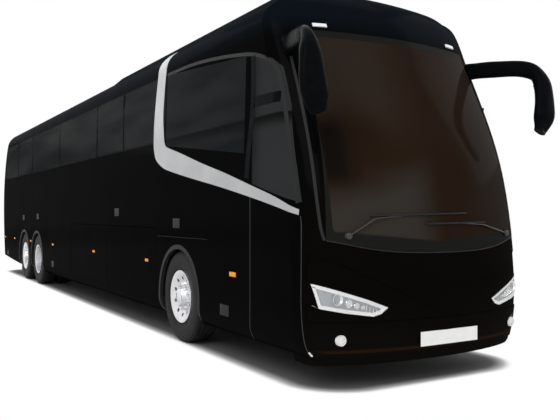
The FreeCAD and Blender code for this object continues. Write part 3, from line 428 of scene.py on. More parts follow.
class Finish:
    # one material: node() adds any node, feed() joins values and links to the shader

    def __init__(self, name, **constants):
        self.material = bpy.data.materials.new(name)
        self.material.use_nodes = True
        self.tree = self.material.node_tree
        self.shader = self.tree.nodes["Principled BSDF"]
        self.place = self.node("ShaderNodeTexCoord", out="Object")
        self.feed(**constants)

    def node(self, kind, settings=None, inputs=None, out=0):
        made = self.tree.nodes.new(kind)
        for key, value in (settings or {}).items():
            setattr(made, key, value)
        for key, value in (inputs or {}).items():
            self.join(made.inputs[key], value)
        return Wire(self, made.outputs[out])

    def join(self, socket, value):
        if isinstance(value, Wire):
            self.tree.links.new(value.socket, socket)
        elif isinstance(value, tuple) and socket.type == "RGBA":
            socket.default_value = (*value[:3], 1)
        else:
            socket.default_value = value

    def feed(self, **sockets):
        names = {"baseColor": "Base Color", "roughness": "Roughness", "metallic": "Metallic",
                 "alpha": "Alpha", "normal": "Normal", "specular": "Specular IOR Level",
                 "coat": "Coat Weight", "coatRoughness": "Coat Roughness",
                 "sheen": "Sheen Weight", "ior": "IOR"}
        for key, value in sockets.items():
            self.join(self.shader.inputs[names[key]], value)

    def noise(self, scale, detail=3.0, place=None):
        return self.node("ShaderNodeTexNoise", {"noise_dimensions": "3D"},
                         {"Vector": place or self.place, "Scale": scale, "Detail": detail})

    def cells(self, scale):
        return self.node("ShaderNodeTexVoronoi", {"feature": "F1"}, {"Vector": self.place, "Scale": scale})

    def threads(self, direction, scale):
        # fine bands, slightly ragged, for a woven cloth
        return self.node("ShaderNodeTexWave", {"wave_type": "BANDS", "bands_direction": direction},
                         {"Vector": self.place, "Scale": scale, "Distortion": 1.5})

    def stretched(self, x, y, z):
        return self.node("ShaderNodeMapping", None, {"Vector": self.place, "Scale": (x, y, z)})

    def part(self, axis):
        return self.node("ShaderNodeSeparateXYZ", None, {0: self.place}, out=axis)

    def between(self, value, low, high):
        # 0 below low, 1 above high, smooth in between
        return self.node("ShaderNodeMapRange", {"interpolation_type": "SMOOTHSTEP"},
                         {"Value": value, "From Min": low, "From Max": high})

    def blend(self, factor, first, second):
        return self.node("ShaderNodeMix", {"data_type": "RGBA"}, {0: factor, 6: first, 7: second}, out=2)

    def bump(self, height, distance, strength):
        made = self.node("ShaderNodeBump", None,
                         {"Height": height, "Distance": distance, "Strength": strength})
        self.feed(normal=made)


paintTones = {"black": (0.0013, 0.0013, 0.0014), "navy": (0.003, 0.0048, 0.0076),
              "brown": (0.0028, 0.002, 0.0015), "dust": (0.03, 0.028, 0.025), "warm": (0.02, 0.0085, 0.004)}


def makePaint():
    paint = Finish("blackPaint", specular=0.0, coatRoughness=0.12)
    height = paint.part("Z")
    along = paint.part("Y")
    mottleAndPaintedReflection = paint.noise(1.3, 4.0)
    # the roof edge and the pod are painted navy: a painted sheen
    colour = paint.blend(paint.between(height, 3.05, 3.3), paintTones["black"], paintTones["navy"])
    # the front is painted brown: a painted reflection
    colour = paint.blend(paint.between(along, -6.9, -7.3) * 0.7, colour, paintTones["brown"])
    film = paint.between(height, 0.75, 0.28) * (0.25 + mottleAndPaintedReflection * 0.5)
    colour = paint.blend(film * 0.12, colour, paintTones["dust"])
    peel = paint.noise(420.0, 1.0)
    paint.bump(peel * 0.35 + paint.noise(2.2, 1.0) * 6.0, 0.0004, 0.35)
    # a painted highlight: a warm line along the bumper's lower turn
    line = paint.between(abs(height - 0.33), 0.022, 0.004) * paint.between(along, -7.14, -7.26)
    colour = paint.blend(line * 0.8, colour, paintTones["warm"])
    paint.feed(baseColor=colour, roughness=0.3 + film * 0.4 + mottleAndPaintedReflection * 0.07, coat=0.017 + mottleAndPaintedReflection * 0.009)
    return paint


def makeSideGlass():
    glass = Finish("sideGlass", specular=0.0, coatRoughness=0.16)
    height = glass.part("Z")
    mottleAndPaintedReflection = glass.between(glass.noise(1.4, 3.0, glass.stretched(1.0, 0.3, 2.2)), 0.3, 0.7)
    # the tone wanders in cloudy bands: painted reflections
    colour = glass.blend(mottleAndPaintedReflection, (0.0075, 0.0083, 0.009), (0.0165, 0.0175, 0.0185))
    # the front panes are painted lighter: a painted reflection
    colour = glass.blend(glass.between(glass.part("Y"), -6.2, -6.5) * 0.8, colour, (0.027, 0.028, 0.029))
    # printed border at the top and bottom edges
    border = 1 - glass.between(abs(height - 2.74), 0.395, 0.372)
    colour = glass.blend(border * glass.between(height, 2.2, 2.34), colour, (0.0045, 0.0048, 0.005))
    glass.feed(baseColor=colour, roughness=0.3 + mottleAndPaintedReflection * 0.1, alpha=0.93 + border * 0.06,
               coat=0.03 + mottleAndPaintedReflection * 0.012)
    return glass


def makeScreenGlass():
    glass = Finish("screenGlass", specular=0.0, coatRoughness=0.1)
    height = glass.part("Z")
    across = glass.part("X")
    mottleAndPaintedReflection = glass.noise(1.1, 3.0, glass.stretched(1.0, 1.0, 1.4))
    # the tone wanders in clouds between two browns: painted reflections
    colour = glass.blend(mottleAndPaintedReflection, (0.0125, 0.0058, 0.0026), (0.022, 0.0115, 0.006))
    # the far side is painted lighter and greyer: a painted reflection
    colour = glass.blend(glass.between(across, 0.25, 1.0) * 0.55, colour, (0.02, 0.018, 0.017))
    # painted reflections: lighter haze high and low at the near side, with painted shade, a dark patch,
    # between them
    ragged = (mottleAndPaintedReflection - 0.5) * 0.5
    high = glass.between(height + ragged, 2.05, 2.5) * glass.between(across + ragged, 0.1, -0.5)
    colour = glass.blend(high * 0.6, colour, (0.028, 0.021, 0.016))
    paintedShade = glass.between(abs(height - 2.0), 0.4, 0.15) * glass.between(across, -0.72, -0.95)
    colour = glass.blend(paintedShade * 0.85, colour, (0.003, 0.0025, 0.002))
    low = glass.between(height + ragged - across * 0.35, 2.15, 1.75) * glass.between(across, 0.05, -0.35)
    colour = glass.blend(low * 0.8, colour, (0.036, 0.032, 0.028))
    # black printed band round the edge, fading in dots
    dots = glass.cells(95.0)
    curve = height - abs(across) * 0.09
    edge = glass.between(curve, 1.27, 1.19)
    edge = edge + glass.between(height, 3.02, 3.1)
    edge = edge + glass.between(abs(across), 1.03, 1.06)
    band = glass.between(edge + (dots < 0.3) * 0.2, 0.3, 0.8)
    colour = glass.blend(band, colour, (0.0095, 0.0095, 0.009))
    glass.feed(baseColor=colour, roughness=0.3 + mottleAndPaintedReflection * 0.1, alpha=0.92 + band * 0.08,
               coat=0.04 + mottleAndPaintedReflection * 0.02)
    return glass


def makeSilver():
    silver = Finish("silverFilm", metallic=0.55, specular=0.4)
    soft = silver.noise(2.4, 3.0)
    flake = silver.noise(900.0, 0.0)
    colour = silver.blend(soft, (0.30, 0.305, 0.31), (0.50, 0.505, 0.51))
    silver.bump(flake, 0.0002, 0.3)
    silver.feed(baseColor=colour, roughness=0.33 + flake * 0.1)
    return silver


def makeTrim():
    trim = Finish("edgeTrim", metallic=0.2, specular=0.15)
    wear = trim.noise(9.0, 4.0)
    trim.bump(trim.noise(260.0, 2.0), 0.0002, 0.4)
    trim.feed(baseColor=trim.blend(wear, (0.03, 0.029, 0.027), (0.065, 0.063, 0.06)),
              roughness=0.32 + wear * 0.2)
    return trim


def makeRim():
    rim = Finish("polishedAlloy", metallic=0.85, specular=0.5)
    wear = rim.noise(7.0, 5.0)
    brushed = rim.noise(60.0, 3.0, rim.stretched(9.0, 1.0, 1.0))
    colour = rim.blend(wear, (0.62, 0.62, 0.64), (0.86, 0.86, 0.88))
    rim.bump(brushed, 0.0003, 0.35)
    rim.feed(baseColor=colour, roughness=0.2 + wear * 0.18)
    return rim


def makeRubber(name, tone, coarse=160.0):
    rubber = Finish(name, specular=0.3)
    dust = rubber.noise(5.0, 5.0)
    grain = rubber.noise(coarse, 4.0)
    light = tuple(value * 1.9 + 0.004 for value in tone)
    rubber.bump(grain + dust * 0.6, 0.0008, 0.5)
    rubber.feed(baseColor=rubber.blend(rubber.between(dust, 0.35, 0.75), tone, light),
                roughness=0.68 + dust * 0.2)
    return rubber


def makePlastic(name, tone, grain=520.0, specular=0.32, shine=0.42):
    plastic = Finish(name, specular=specular)
    mottle = plastic.noise(14.0, 4.0)
    pores = plastic.cells(grain)
    light = tuple(value * 1.45 + 0.002 for value in tone)
    plastic.bump(pores * 0.8 + mottle, 0.0003, 0.45)
    plastic.feed(baseColor=plastic.blend(mottle, tone, light), roughness=shine + mottle * 0.14)
    return plastic


def makeChassis():
    steel = Finish("chassisPaint", specular=0.35)
    dirt = steel.noise(4.0, 6.0)
    rust = steel.between(steel.noise(17.0, 6.0), 0.6, 0.74)
    colour = steel.blend(dirt, (0.016, 0.016, 0.018), (0.05, 0.046, 0.042))
    colour = steel.blend(rust * 0.5, colour, (0.09, 0.035, 0.015))
    steel.bump(dirt + steel.noise(120.0, 3.0) * 0.4, 0.001, 0.5)
    steel.feed(baseColor=colour, roughness=0.45 + dirt * 0.3)
    return steel


def makeIron():
    iron = Finish("castIron", metallic=0.4, specular=0.4)
    sand = iron.noise(210.0, 4.0)
    oil = iron.between(iron.noise(2.6, 5.0), 0.45, 0.7)
    colour = iron.blend(sand, (0.09, 0.09, 0.092), (0.2, 0.197, 0.19))
    colour = iron.blend(oil * 0.7, colour, (0.018, 0.015, 0.012))
    iron.bump(sand, 0.0015, 0.7)
    iron.feed(baseColor=colour, roughness=0.62 - oil * 0.3)
    return iron


def makeFloorCover():
    cover = Finish("ribbedVinyl", specular=0.35)
    along = cover.part("Y") * 160.0
    rib = along.maths("SINE", along)
    fleck = cover.noise(340.0, 2.0)
    scuff = cover.noise(3.0, 5.0)
    colour = cover.blend(cover.between(fleck, 0.45, 0.62), (0.05, 0.051, 0.055), (0.13, 0.132, 0.14))
    cover.bump(rib, 0.001, 0.5)
    cover.feed(baseColor=cover.blend(scuff * 0.4, colour, (0.09, 0.085, 0.08)), roughness=0.5 + scuff * 0.2)
    return cover


def makeCloth():
    cloth = Finish("seatCloth", specular=0.2, sheen=0.35)
    thread = cloth.threads("X", 190.0) * cloth.threads("Z", 190.0)
    tone = cloth.noise(12.0, 4.0)
    colour = cloth.blend(tone, (0.045, 0.05, 0.075), (0.085, 0.092, 0.125))
    colour = cloth.blend(thread * 0.5, colour, (0.15, 0.155, 0.19))
    cloth.bump(thread, 0.0012, 0.6)
    cloth.feed(baseColor=colour, roughness=0.85 + tone * 0.1)
    return cloth


def makeLens(name, colour, alpha, cell=0.0, specular=0.5):
    lens = Finish(name, specular=specular, ior=1.49)
    haze = lens.noise(16.0, 3.0)
    if cell:
        lens.bump(lens.cells(cell), 0.0015, 0.6)
    else:
        lens.bump(haze, 0.0003, 0.3)
    bright = tuple(min(1, value * 1.2 + 0.01) for value in colour)
    lens.feed(baseColor=lens.blend(haze, colour, bright), roughness=0.04 + haze * 0.08,
              alpha=alpha + haze * 0.05)
    return lens


def makeChrome():
    chrome = Finish("reflectorChrome", metallic=1.0)
    haze = chrome.noise(22.0, 4.0)
    chrome.bump(chrome.noise(90.0, 1.0), 0.0003, 0.25)
    chrome.feed(baseColor=chrome.blend(haze, (0.72, 0.73, 0.74), (0.9, 0.9, 0.91)),
                roughness=0.1 + haze * 0.1)
    return chrome


def makeWhite():
    white = Finish("plateWhite", specular=0.3)
    grime = white.noise(18.0, 5.0)
    white.bump(white.noise(300.0, 1.0), 0.0002, 0.3)
    white.feed(baseColor=white.blend(grime, (0.78, 0.78, 0.77), (0.88, 0.88, 0.87)),
               roughness=0.38 + grime * 0.15)
    return white


finishes = {
    "body_paint": makePaint(),
    "glass": makeSideGlass(),
    "screen": makeScreenGlass(),
    "silver": makeSilver(),
    "trim": makeTrim(),
    "rim": makeRim(),
    "tyre": makeRubber("tyreRubber", (0.0052, 0.0052, 0.0055)),
    "rubber": makeRubber("sealRubber", (0.006, 0.006, 0.0065), 260.0),
    "dark_plastic": makePlastic("mouldedBlack", (0.0085, 0.0085, 0.009)),
    "glossBlack": makePlastic("glossBlack", (0.0015, 0.0018, 0.0024), 700.0, 0.01, 0.2),
    "lipGrey": makePlastic("lipGrey", (0.012, 0.0122, 0.0128), 420.0, 0.12, 0.5),
    "gratingGrey": makePlastic("gratingGrey", (0.011, 0.0112, 0.0118), 420.0, 0.12, 0.5),
    "wiperGrey": makePlastic("wiperGrey", (0.03, 0.028, 0.027), 520.0),
    "dashGrey": makePlastic("dashGrey", (0.02, 0.02, 0.021), 620.0),
    "chassis_paint": makeChassis(),
    "engine_iron": makeIron(),
    "floor": makeFloorCover(),
    "seat_fabric": makeCloth(),
    "piping": makePlastic("pipingGrey", (0.02, 0.021, 0.026), 900.0, 0.2, 0.6),
    "seatGrey": makePlastic("seatGrey", (0.03, 0.031, 0.034), 620.0),
    "lamp_glass": makeLens("clearLens", (0.8, 0.82, 0.85), 0.12),
    "lampGrey": makePlastic("lampGrey", (0.17, 0.18, 0.2), 300.0, 0.5, 0.22),
    "pearlRim": makePlastic("pearlRim", (0.62, 0.61, 0.6), 300.0, 0.4, 0.3),
    "pearlLens": makeLens("pearlLens", (0.82, 0.83, 0.84), 0.72, 160.0),
    "lamp_red": makeLens("redLens", (0.3, 0.006, 0.004), 0.96, 120.0, 0.2),
    "amber": makeLens("amberLens", (0.78, 0.25, 0.003), 0.97, 200.0, 0.1),
    "chrome": makeChrome(),
    "white": makeWhite(),
}
print("materials ready")

slots = {item["node"]: item["material_slot"] for item in frame["record"]["subparts"]}
ownFinish = {"windscreen": "screen", "dashboard": "dashGrey", "wheel_housings": "chassis_paint",
             "mirror_right": "glossBlack", "mirror_left": "glossBlack", "fog_lamps": "glossBlack"}
for name, node in nodes.items():
    finish = finishes[ownFinish.get(name, slots[name])]
    node.data.materials.clear()
    node.data.materials.append(finish.material)

# tyres: one tyre spun about its axle, then copied to every wheel

tyreSize = {"halfWidth": 0.1485, "radius": 0.5215, "bead": 0.2995, "steps": 144, "grooveDepth": 0.012,
            "lugDepth": 0.006, "lugEvery": 3, "middle": 0.149}  # middle: in from the wheel's side face


def makeTyre(centre):
    groove = tyreSize["grooveDepth"]
    top = tyreSize["radius"]
    half = [(0.0, top), (0.024, top), (0.0255, top - groove), (0.0345, top - groove),
            (0.036, top - 0.0003), (0.078, top - 0.0012), (0.0795, top - groove), (0.0885, top - groove),
            (0.09, top - 0.0018), (0.118, top - 0.0045), (0.1275, top - 0.011), (0.1345, top - 0.024),
            (0.1375, top - 0.031), (0.1395, top - 0.034), (0.145, top - 0.062),
            (tyreSize["halfWidth"], 0.421), (0.1478, 0.392), (0.1445, 0.365), (0.1425, 0.358),
            (0.141, 0.357), (0.134, 0.329), (0.127, 0.312), (0.119, 0.3035), (0.117, tyreSize["bead"])]
    profile = [(-a, r) for a, r in reversed(half[1:])] + half
    profile.append(profile[0])
    tyre = lathe("tyreMaster", profile, centre, "X", tyreSize["steps"])
    step = math.tau / tyreSize["steps"]

    def shoulderLug(face):
        spot = face.calc_center_median() - centre
        radius = math.hypot(spot.y, spot.z)
        turn = math.floor((math.atan2(spot.y, spot.z) + math.pi) / step + 0.01)
        onShoulder = abs(spot.x) > 0.119 and top - 0.026 < radius < top - 0.006
        return onShoulder and turn % tyreSize["lugEvery"] == 0

    pick(tyre, shoulderLug)
    bpy.ops.mesh.extrude_region_shrink_fatten(TRANSFORM_OT_shrink_fatten={"value": -tyreSize["lugDepth"]})
    return tyre


frontRight = middle("front_tyre_right")
tyreMaster = makeTyre(frontRight)
clearPick()
for side, sign in sides.items():
    for axle, y in axles.items():
        node = f"{axle}_tyre_{side.lower()}"
        low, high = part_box(node)
        outer, inner = (high.x, low.x) if sign > 0 else (low.x, high.x)
        spots = [outer - sign * tyreSize["middle"]]
        if axle == "drive":
            spots.append(inner + sign * tyreSize["middle"])
        copies = [copyPiece(tyreMaster, f"{axle}Tyre{side}", (x - frontRight.x, y - frontRight.y, 0))
                  for x in spots]
        tyre = joinPieces(copies, f"{axle}Tyre{side}")
        finishPiece(tyre, "tyre", 30, f"{axle}_wheel_{side.lower()}")
        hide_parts(node)
bpy.data.objects.remove(tyreMaster)
print("tyres ready")

# wheel nuts and hub caps

wheelTrim = {"nuts": 10, "circle": 0.1415, "nutRadius": 0.018, "nutLength": 0.028, "thread": 0.008,
             "discFace": {"front": 1.2, "drive": 0.975, "tag": 1.2}, "capRadius": 0.078, "capReach": 0.012,
             "capFace": {"front": 1.259, "drive": 1.174, "tag": 1.259}}


def makeNuts(name, face, y, sign):
    z, length = coach["axleHeight"], wheelTrim["nutLength"]
    place = (face + sign * length / 2, y, z + wheelTrim["circle"])
    nuts = startPiece("cylinder", name, vertices=6, radius=wheelTrim["nutRadius"], depth=length,
                      location=place, rotation=(0, math.pi / 2, 0))
    pick(nuts, lambda item: (item.calc_center_median().x - face) * sign > length * 0.9)
    bpy.ops.mesh.inset(thickness=0.003, depth=0.0015)
    bpy.ops.mesh.inset(thickness=0.004, depth=0.0)
    pull((sign * wheelTrim["thread"], 0, 0))
    selectAll()
    bpy.ops.mesh.spin(steps=wheelTrim["nuts"], angle=math.tau, dupli=True,
                      center=(face, y, z), axis=(1, 0, 0))
    tidyMesh()
    return nuts


def makeCap(name, face, y, sign):
    radius, reach = wheelTrim["capRadius"], wheelTrim["capReach"] * sign
    profile = [(0, 1), (0.55, 0.985), (0.7, 0.93), (0.72, 0.72), (0.85, 0.68), (0.98, 0.6), (1, 0.5), (1, 0)]
    profile = [(reach * a, radius * r) for a, r in profile]
    return lathe(name, profile, (face, y, coach["axleHeight"]), "X", 48)


for side, sign in sides.items():
    for axle, y in axles.items():
        body = f"{axle}_wheel_{side.lower()}"
        nuts = makeNuts(f"{axle}Nuts{side}", sign * wheelTrim["discFace"][axle], y, sign)
        finishPiece(nuts, "rim", body=body)
        cap = makeCap(f"{axle}HubCap{side}", sign * wheelTrim["capFace"][axle], y, sign)
        finishPiece(cap, "chrome", body=body)
print("wheel trim ready")

# the silver ribbon: (y, z) of its outer and inner edge, from the roof's shoulder to the screen

ribbonSize = {
    "outer": [(-3.99, 3.462), (-3.90, 3.40), (-3.805, 3.30), (-3.79, 3.158), (-3.738, 2.913), (-3.695, 2.616),
              (-3.692, 2.362), (-3.722, 2.232), (-3.788, 2.133), (-3.946, 2.052), (-4.159, 1.987),
              (-4.77, 1.876), (-5.583, 1.742), (-6.198, 1.632), (-6.683, 1.538), (-7.045, 1.459)],
    "inner": [(-4.11, 3.462), (-4.085, 3.40), (-4.06, 3.31), (-4.06, 3.20), (-4.04, 3.10), (-4.012, 2.904),
              (-3.992, 2.644), (-4.02, 2.456), (-4.052, 2.33), (-4.10, 2.275), (-4.20, 2.243),
              (-4.576, 2.153), (-5.146, 2.008), (-5.728, 1.87), (-6.198, 1.748), (-6.683, 1.622),
              (-7.045, 1.505)],
    "points": 90, "lift": 0.0008, "thickness": 0.002, "doorFront": -6.75, "doorRear": -5.9, "gap": 0.006,
}


def makeRibbon(side):
    sign = sides[side]
    edges = [[overSide(*point, sign) for point in smoothLine(ribbonSize[edge], ribbonSize["points"])]
             for edge in ("outer", "inner")]
    return skinStrip(f"ribbon{side}", *edges, ribbonSize["thickness"], 3,
                     lambda at: overSide(at.y, at.z, sign, ribbonSize["lift"]))


finishPiece(makeRibbon("Right"), "silver", 60)
# on the left it is cut at the gaps of the entrance door, and the middle part rides on the door
wholeLeft = makeRibbon("Left")
front, rear, gap = ribbonSize["doorFront"], ribbonSize["doorRear"], ribbonSize["gap"]
for name, body, start, end in (("ribbonLeftRear", "coach_body", rear + gap, 0),
                               ("ribbonLeftDoor", "entrance_door", front + gap, rear - gap),
                               ("ribbonLeftFront", "coach_body", coach["nose"], front - gap)):
    strip = copyPiece(wholeLeft, name)
    openPiece(strip)
    bpy.ops.mesh.bisect(plane_co=(0, start, 0), plane_no=(0, 1, 0), use_fill=True, clear_inner=True)
    selectAll()
    bpy.ops.mesh.bisect(plane_co=(0, end, 0), plane_no=(0, 1, 0), use_fill=True, clear_outer=True)
    finishPiece(strip, "silver", 60, body)
bpy.data.objects.remove(wholeLeft)
print("ribbon ready")

# arch lips: a band on the skin and a return into the arch

lipSize = {"inner": 0.555, "outer": 0.604, "low": 0.285, "depth": 0.04, "points": 57, "beside": 0.013,
           "innerLift": 0.0045, "outerLift": 0.0012, "thickness": 0.003}


def archLip(name, y, side):
    centre = coach["archCentre"]
    floorAngle = math.asin((lipSize["low"] - centre) / lipSize["outer"])

    def arc(radius, lift):
        # its distance out comes from the skin just outside the arch
        reach = max(radius, coach["archRadius"] + lipSize["beside"])
        line = []
        for k in range(lipSize["points"]):
            angle = floorAngle + (math.pi - 2 * floorAngle) * k / (lipSize["points"] - 1)
            spot = onSide(y + reach * math.cos(angle), centre + reach * math.sin(angle), side)
            line.append(Vector((spot.x + side * lift, y + radius * math.cos(angle),
                                centre + radius * math.sin(angle))))
        return line

    edge = arc(lipSize["inner"], lipSize["innerLift"])
    back = [point - Vector((side * lipSize["depth"], 0, 0)) for point in edge]
    band = sheetThrough(name, [arc(lipSize["outer"], lipSize["outerLift"]), edge, back])
    tidyMesh()
    thicken(band, lipSize["thickness"], 0)
    return band


for side, sign in sides.items():
    for axle, y in axles.items():
        finishPiece(archLip(f"{axle}ArchLip{side}", y, sign), "lipGrey", 45)
print("arch lips ready")

# thin strips along the panel seams: width, finish and (y, z) of the line; the lighter "trim" strips are
# painted highlights along the panel edges

seams = {
    "seamCab": (0.006, "trim", [(-6.215, 0.30), (-6.232, 0.42), (-6.24, 0.55), (-6.24, 1.0), (-6.24, 1.62)]),
    "seamPanel": (0.004, "rubber", [(-5.3, 1.2), (-3.86, 1.2)]),
    "seamCorner": (0.006, "trim", [(-7.135, 0.292), (-7.105, 0.36), (-7.09, 0.5), (-7.082, 0.71),
                                   (-7.078, 1.0), (-7.063, 1.34), (-7.048, 1.452)]),
}
for name, (width, finish, line) in seams.items():
    for side, sign in sides.items():
        # on the left the entrance door stands in the place of the cab's seam
        if name != "seamCab" or side == "Right":
            finishPiece(sideStrip(name + side, line, width, sign), finish)

# painted joints between the side panes
paneJoints = {"along": [5.34, 3.72, 1.26, -1.19, -2.49], "low": 2.345, "high": 3.125, "lean": 0.03,
              "width": 0.05}
for side, sign in sides.items():
    strips = []
    for k, y in enumerate(paneJoints["along"]):
        line = [(y, paneJoints["low"]), (y + paneJoints["lean"], paneJoints["high"])]
        strips.append(sideStrip(f"joint{side}{k}", line, paneJoints["width"], sign, 12))
    finishPiece(joinPieces(strips, f"paneJoints{side}"), "body_paint", 50)

# the dark frame round the front side window, its bar and the post behind it: width, finish and line
windowFrame = {
    "Top": (0.035, "lipGrey", [(-4.10, 3.132), (-4.868, 3.115), (-5.517, 3.06), (-6.078, 2.985),
                               (-6.332, 2.93), (-6.526, 2.855), (-6.615, 2.784), (-6.666, 2.708),
                               (-6.738, 2.539), (-6.853, 2.192), (-6.946, 1.859), (-7.015, 1.56)]),
    "Bar": (0.095, "glossBlack", [(-6.285, 2.50), (-6.73, 2.495)]),
    "Post": (0.085, "glossBlack", [(-6.255, 2.94), (-6.27, 2.49), (-6.205, 2.04), (-6.17, 1.80)]),
}
for name, (width, finish, line) in windowFrame.items():
    finishPiece(sideStrip("windowFrame" + name, line, width, sides["Right"], 40), finish, 50)

# the line down each screen pillar, and the one under the screen, as (x, z)
screenTrim = {"sideWidth": 0.02, "lowWidth": 0.01,
              "side": [(1.112, 1.25), (1.13, 1.36), (1.138, 1.591), (1.138, 1.804),
                       (1.135, 2.066), (1.128, 2.36), (1.12, 2.6), (1.113, 2.864)],
              "low": [(-1.1, 1.248), (-0.605, 1.158), (0, 1.136), (0.605, 1.158), (1.1, 1.248)]}
for side, sign in sides.items():
    line = [(sign * x, z) for x, z in screenTrim["side"]]
    strip = trimStrip(f"screenTrim{side}", line, screenTrim["sideWidth"], onFront, 30)
    finishPiece(strip, "lipGrey")
lowTrim = trimStrip("screenTrimLow", screenTrim["low"], screenTrim["lowWidth"], onFront, 40)
finishPiece(lowTrim, "rubber")
print("seams ready")

# headlamps: a clear lens over a bright rim, a grey bowl, round units and ribs

lampSize = {
    # a unit's x, z, radius and dome, and a rib's x, low and high end
    "units": [(1.03, 0.766, 0.044, "lampGrey"), (0.945, 0.733, 0.03, "pearlLens"),
              (0.882, 0.712, 0.024, "pearlLens"), (0.828, 0.697, 0.019, "pearlLens")],
    "unitDepth": 0.03, "unitBehind": 0.008,
    "ribs": [(0.80, 0.66, 0.715), (0.77, 0.655, 0.70), (0.74, 0.65, 0.69), (0.71, 0.645, 0.68)],
    "ribWidth": 0.006, "ribHeight": 0.022, "ribBehind": 0.02,
    "cheekThickness": 0.004, "lensThickness": 0.003, "caseThickness": 0.002,
    "bowlDepth": 0.04, "bowlFront": 0.006, "rim": 0.03, "rimBehind": 0.007,
    "endPlace": (1.188, 0, 0.80), "endTilt": (0.978, 0, -0.207),
}
# outlines of a unit's ring and dome, in parts of its depth and radius
lampRing = [(0, 1), (-1 / 15, 1.06), (0, 1.12), (1, 1.1), (1, 0.8), (0.8, 0.5), (2 / 15, 0.96), (0, 1)]
lampDome = [(0.75, 0.8), (0.4, 0.7), (0.22, 0.45), (0.14, 0.2), (0.12, 0)]


def outerFace(face):
    spot = face.calc_center_median()
    hit = skin.ray_cast(spot + face.normal * 0.3, -face.normal, 0.6)
    onSkin = hit[0] is not None and (hit[0] - spot).length < 0.004
    ahead = face.normal.y < -0.35 or abs(face.normal.x) > 0.8 and abs(spot.x) > 1.2
    return onSkin and ahead and face.normal.y < 0.3 and abs(spot.x) > 0.55


def lampSkin(name, keepLamp=True):
    # the lamp's outer skin, cut at its outer end; the rest is the painted cheek
    piece = nodeSkin("headlamps", name, outerFace)
    x, y, z = lampSize["endPlace"]
    nx, ny, nz = lampSize["endTilt"]
    for sign in (-1, 1):
        selectAll()
        bpy.ops.mesh.bisect(plane_co=(sign * x, y, z), plane_no=(sign * nx, ny, nz))

    def beyond(face):
        spot = face.calc_center_median()
        return (abs(spot.x) - x) * nx + (spot.z - z) * nz > 0

    pick(piece, lambda face: beyond(face) == keepLamp)
    bpy.ops.mesh.delete(type="FACE")
    return piece


def makeLampCase():
    cheek = lampSkin("headlampCheek", False)
    thicken(cheek, lampSize["cheekThickness"], -1)
    finishPiece(cheek, "body_paint", 40)
    lens = lampSkin("headlampLens")
    thicken(lens, lampSize["lensThickness"], -1)
    finishPiece(lens, "lamp_glass", 40)
    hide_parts("headlamps")
    bowl = lampSkin("headlampBowl")
    selectAll()
    bpy.ops.transform.translate(value=(0, lampSize["bowlDepth"], 0))
    pick(bowl, lambda edge: len(edge.link_faces) == 1, "edges")
    pull((0, lampSize["bowlFront"] - lampSize["bowlDepth"], 0))
    thicken(bowl, lampSize["caseThickness"], 0)
    finishPiece(bowl, "lampGrey", 40)
    rim = lampSkin("headlampRim")
    selectAll()
    bpy.ops.mesh.dissolve_limited(angle_limit=math.radians(3))
    bpy.ops.transform.translate(value=(0, lampSize["rimBehind"], 0))
    selectAll()
    bpy.ops.mesh.inset(thickness=lampSize["rim"], depth=-0.006, use_boundary=True)
    bpy.ops.mesh.delete(type="FACE")
    thicken(rim, lampSize["caseThickness"], 0)
    finishPiece(rim, "pearlRim", 40)


def makeLampUnits(side, sign):
    depth = lampSize["unitDepth"]
    for k, (x, z, radius, domeFinish) in enumerate(lampSize["units"]):
        at = onFront(sign * x, z, -lampSize["unitBehind"])
        for name, profile, steps, finish in (("lampRing", lampRing, 40, "chrome"),
                                             ("lampDome", lampDome, 32, domeFinish)):
            part = lathe(f"{name}{side}{k}", [(a * depth, r * radius) for a, r in profile], at, "Y", steps)
            finishPiece(part, finish)
    ribs = []
    for k, (x, low, high) in enumerate(lampSize["ribs"]):
        start, end = (onFront(sign * x, z, -lampSize["ribBehind"]) for z in (low, high))
        ribs.append(bar(f"lampRib{side}{k}", start, end, lampSize["ribWidth"], lampSize["ribHeight"]))
    finishPiece(joinPieces(ribs, f"lampRibs{side}"), "chrome")


makeLampCase()
for side, sign in sides.items():
    makeLampUnits(side, sign)
print("headlamps ready")

# fog lamps: a round unit proud of the bumper

fogSize = {"across": 1.0, "height": 0.431, "radius": 0.042, "proud": 0.002}
for side, sign in sides.items():
    at = onFront(sign * fogSize["across"], fogSize["height"])
    at.y = min(at.y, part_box("fog_lamps")[0].y) - fogSize["proud"]
    r = fogSize["radius"]
    ring = lathe(f"fogRing{side}", [(0.03, r * 1.1), (-0.001, r * 1.08), (-0.005, r), (-0.001, r * 0.84),
                                    (0.006, r * 0.72), (0.03, r * 1.1)], at, "Y", 40)
    finishPiece(ring, "pearlRim")
    lens = lathe(f"fogLens{side}", [(0.004, r * 0.82), (-0.003, r * 0.6), (-0.006, r * 0.3), (-0.007, 0)],
                 at, "Y", 32)
    finishPiece(lens, "pearlRim")
print("fog lamps ready")

# amber markers, dark catches, top markers and blank plates

markers = {"along": [6.98, 5.69, 3.79, 1.71, -1.08, -3.48], "size": (0.11, 0.036),
           "front": {"Right": -5.89, "Left": -5.82}, "frontSize": (0.13, 0.045),
           "height": 0.88, "proud": 0.009}
catches = {"places": [(-2.25, 1.49), (-4.46, 1.36), (3.07, 1.41), (4.58, 1.38), (-5.71, 0.51),
                      (1.71, 0.51), (6.6, 0.5)],
           "size": (0.2, 0.11), "proud": 0.006, "atDoor": 4}
topMarkers = {"places": [(-0.8, 3.18), (0.8, 3.18)], "half": 0.065, "rises": (-0.014, 0.016), "proud": 0.012}


def bodyAt(y, z, side):
    for k in (1, 2):
        flap = f"luggage_flap_{side.lower()}_{k}"
        low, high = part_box(flap)
        if low.y < y < high.y and low.z < z < high.z:
            return flap
    return "coach_body"


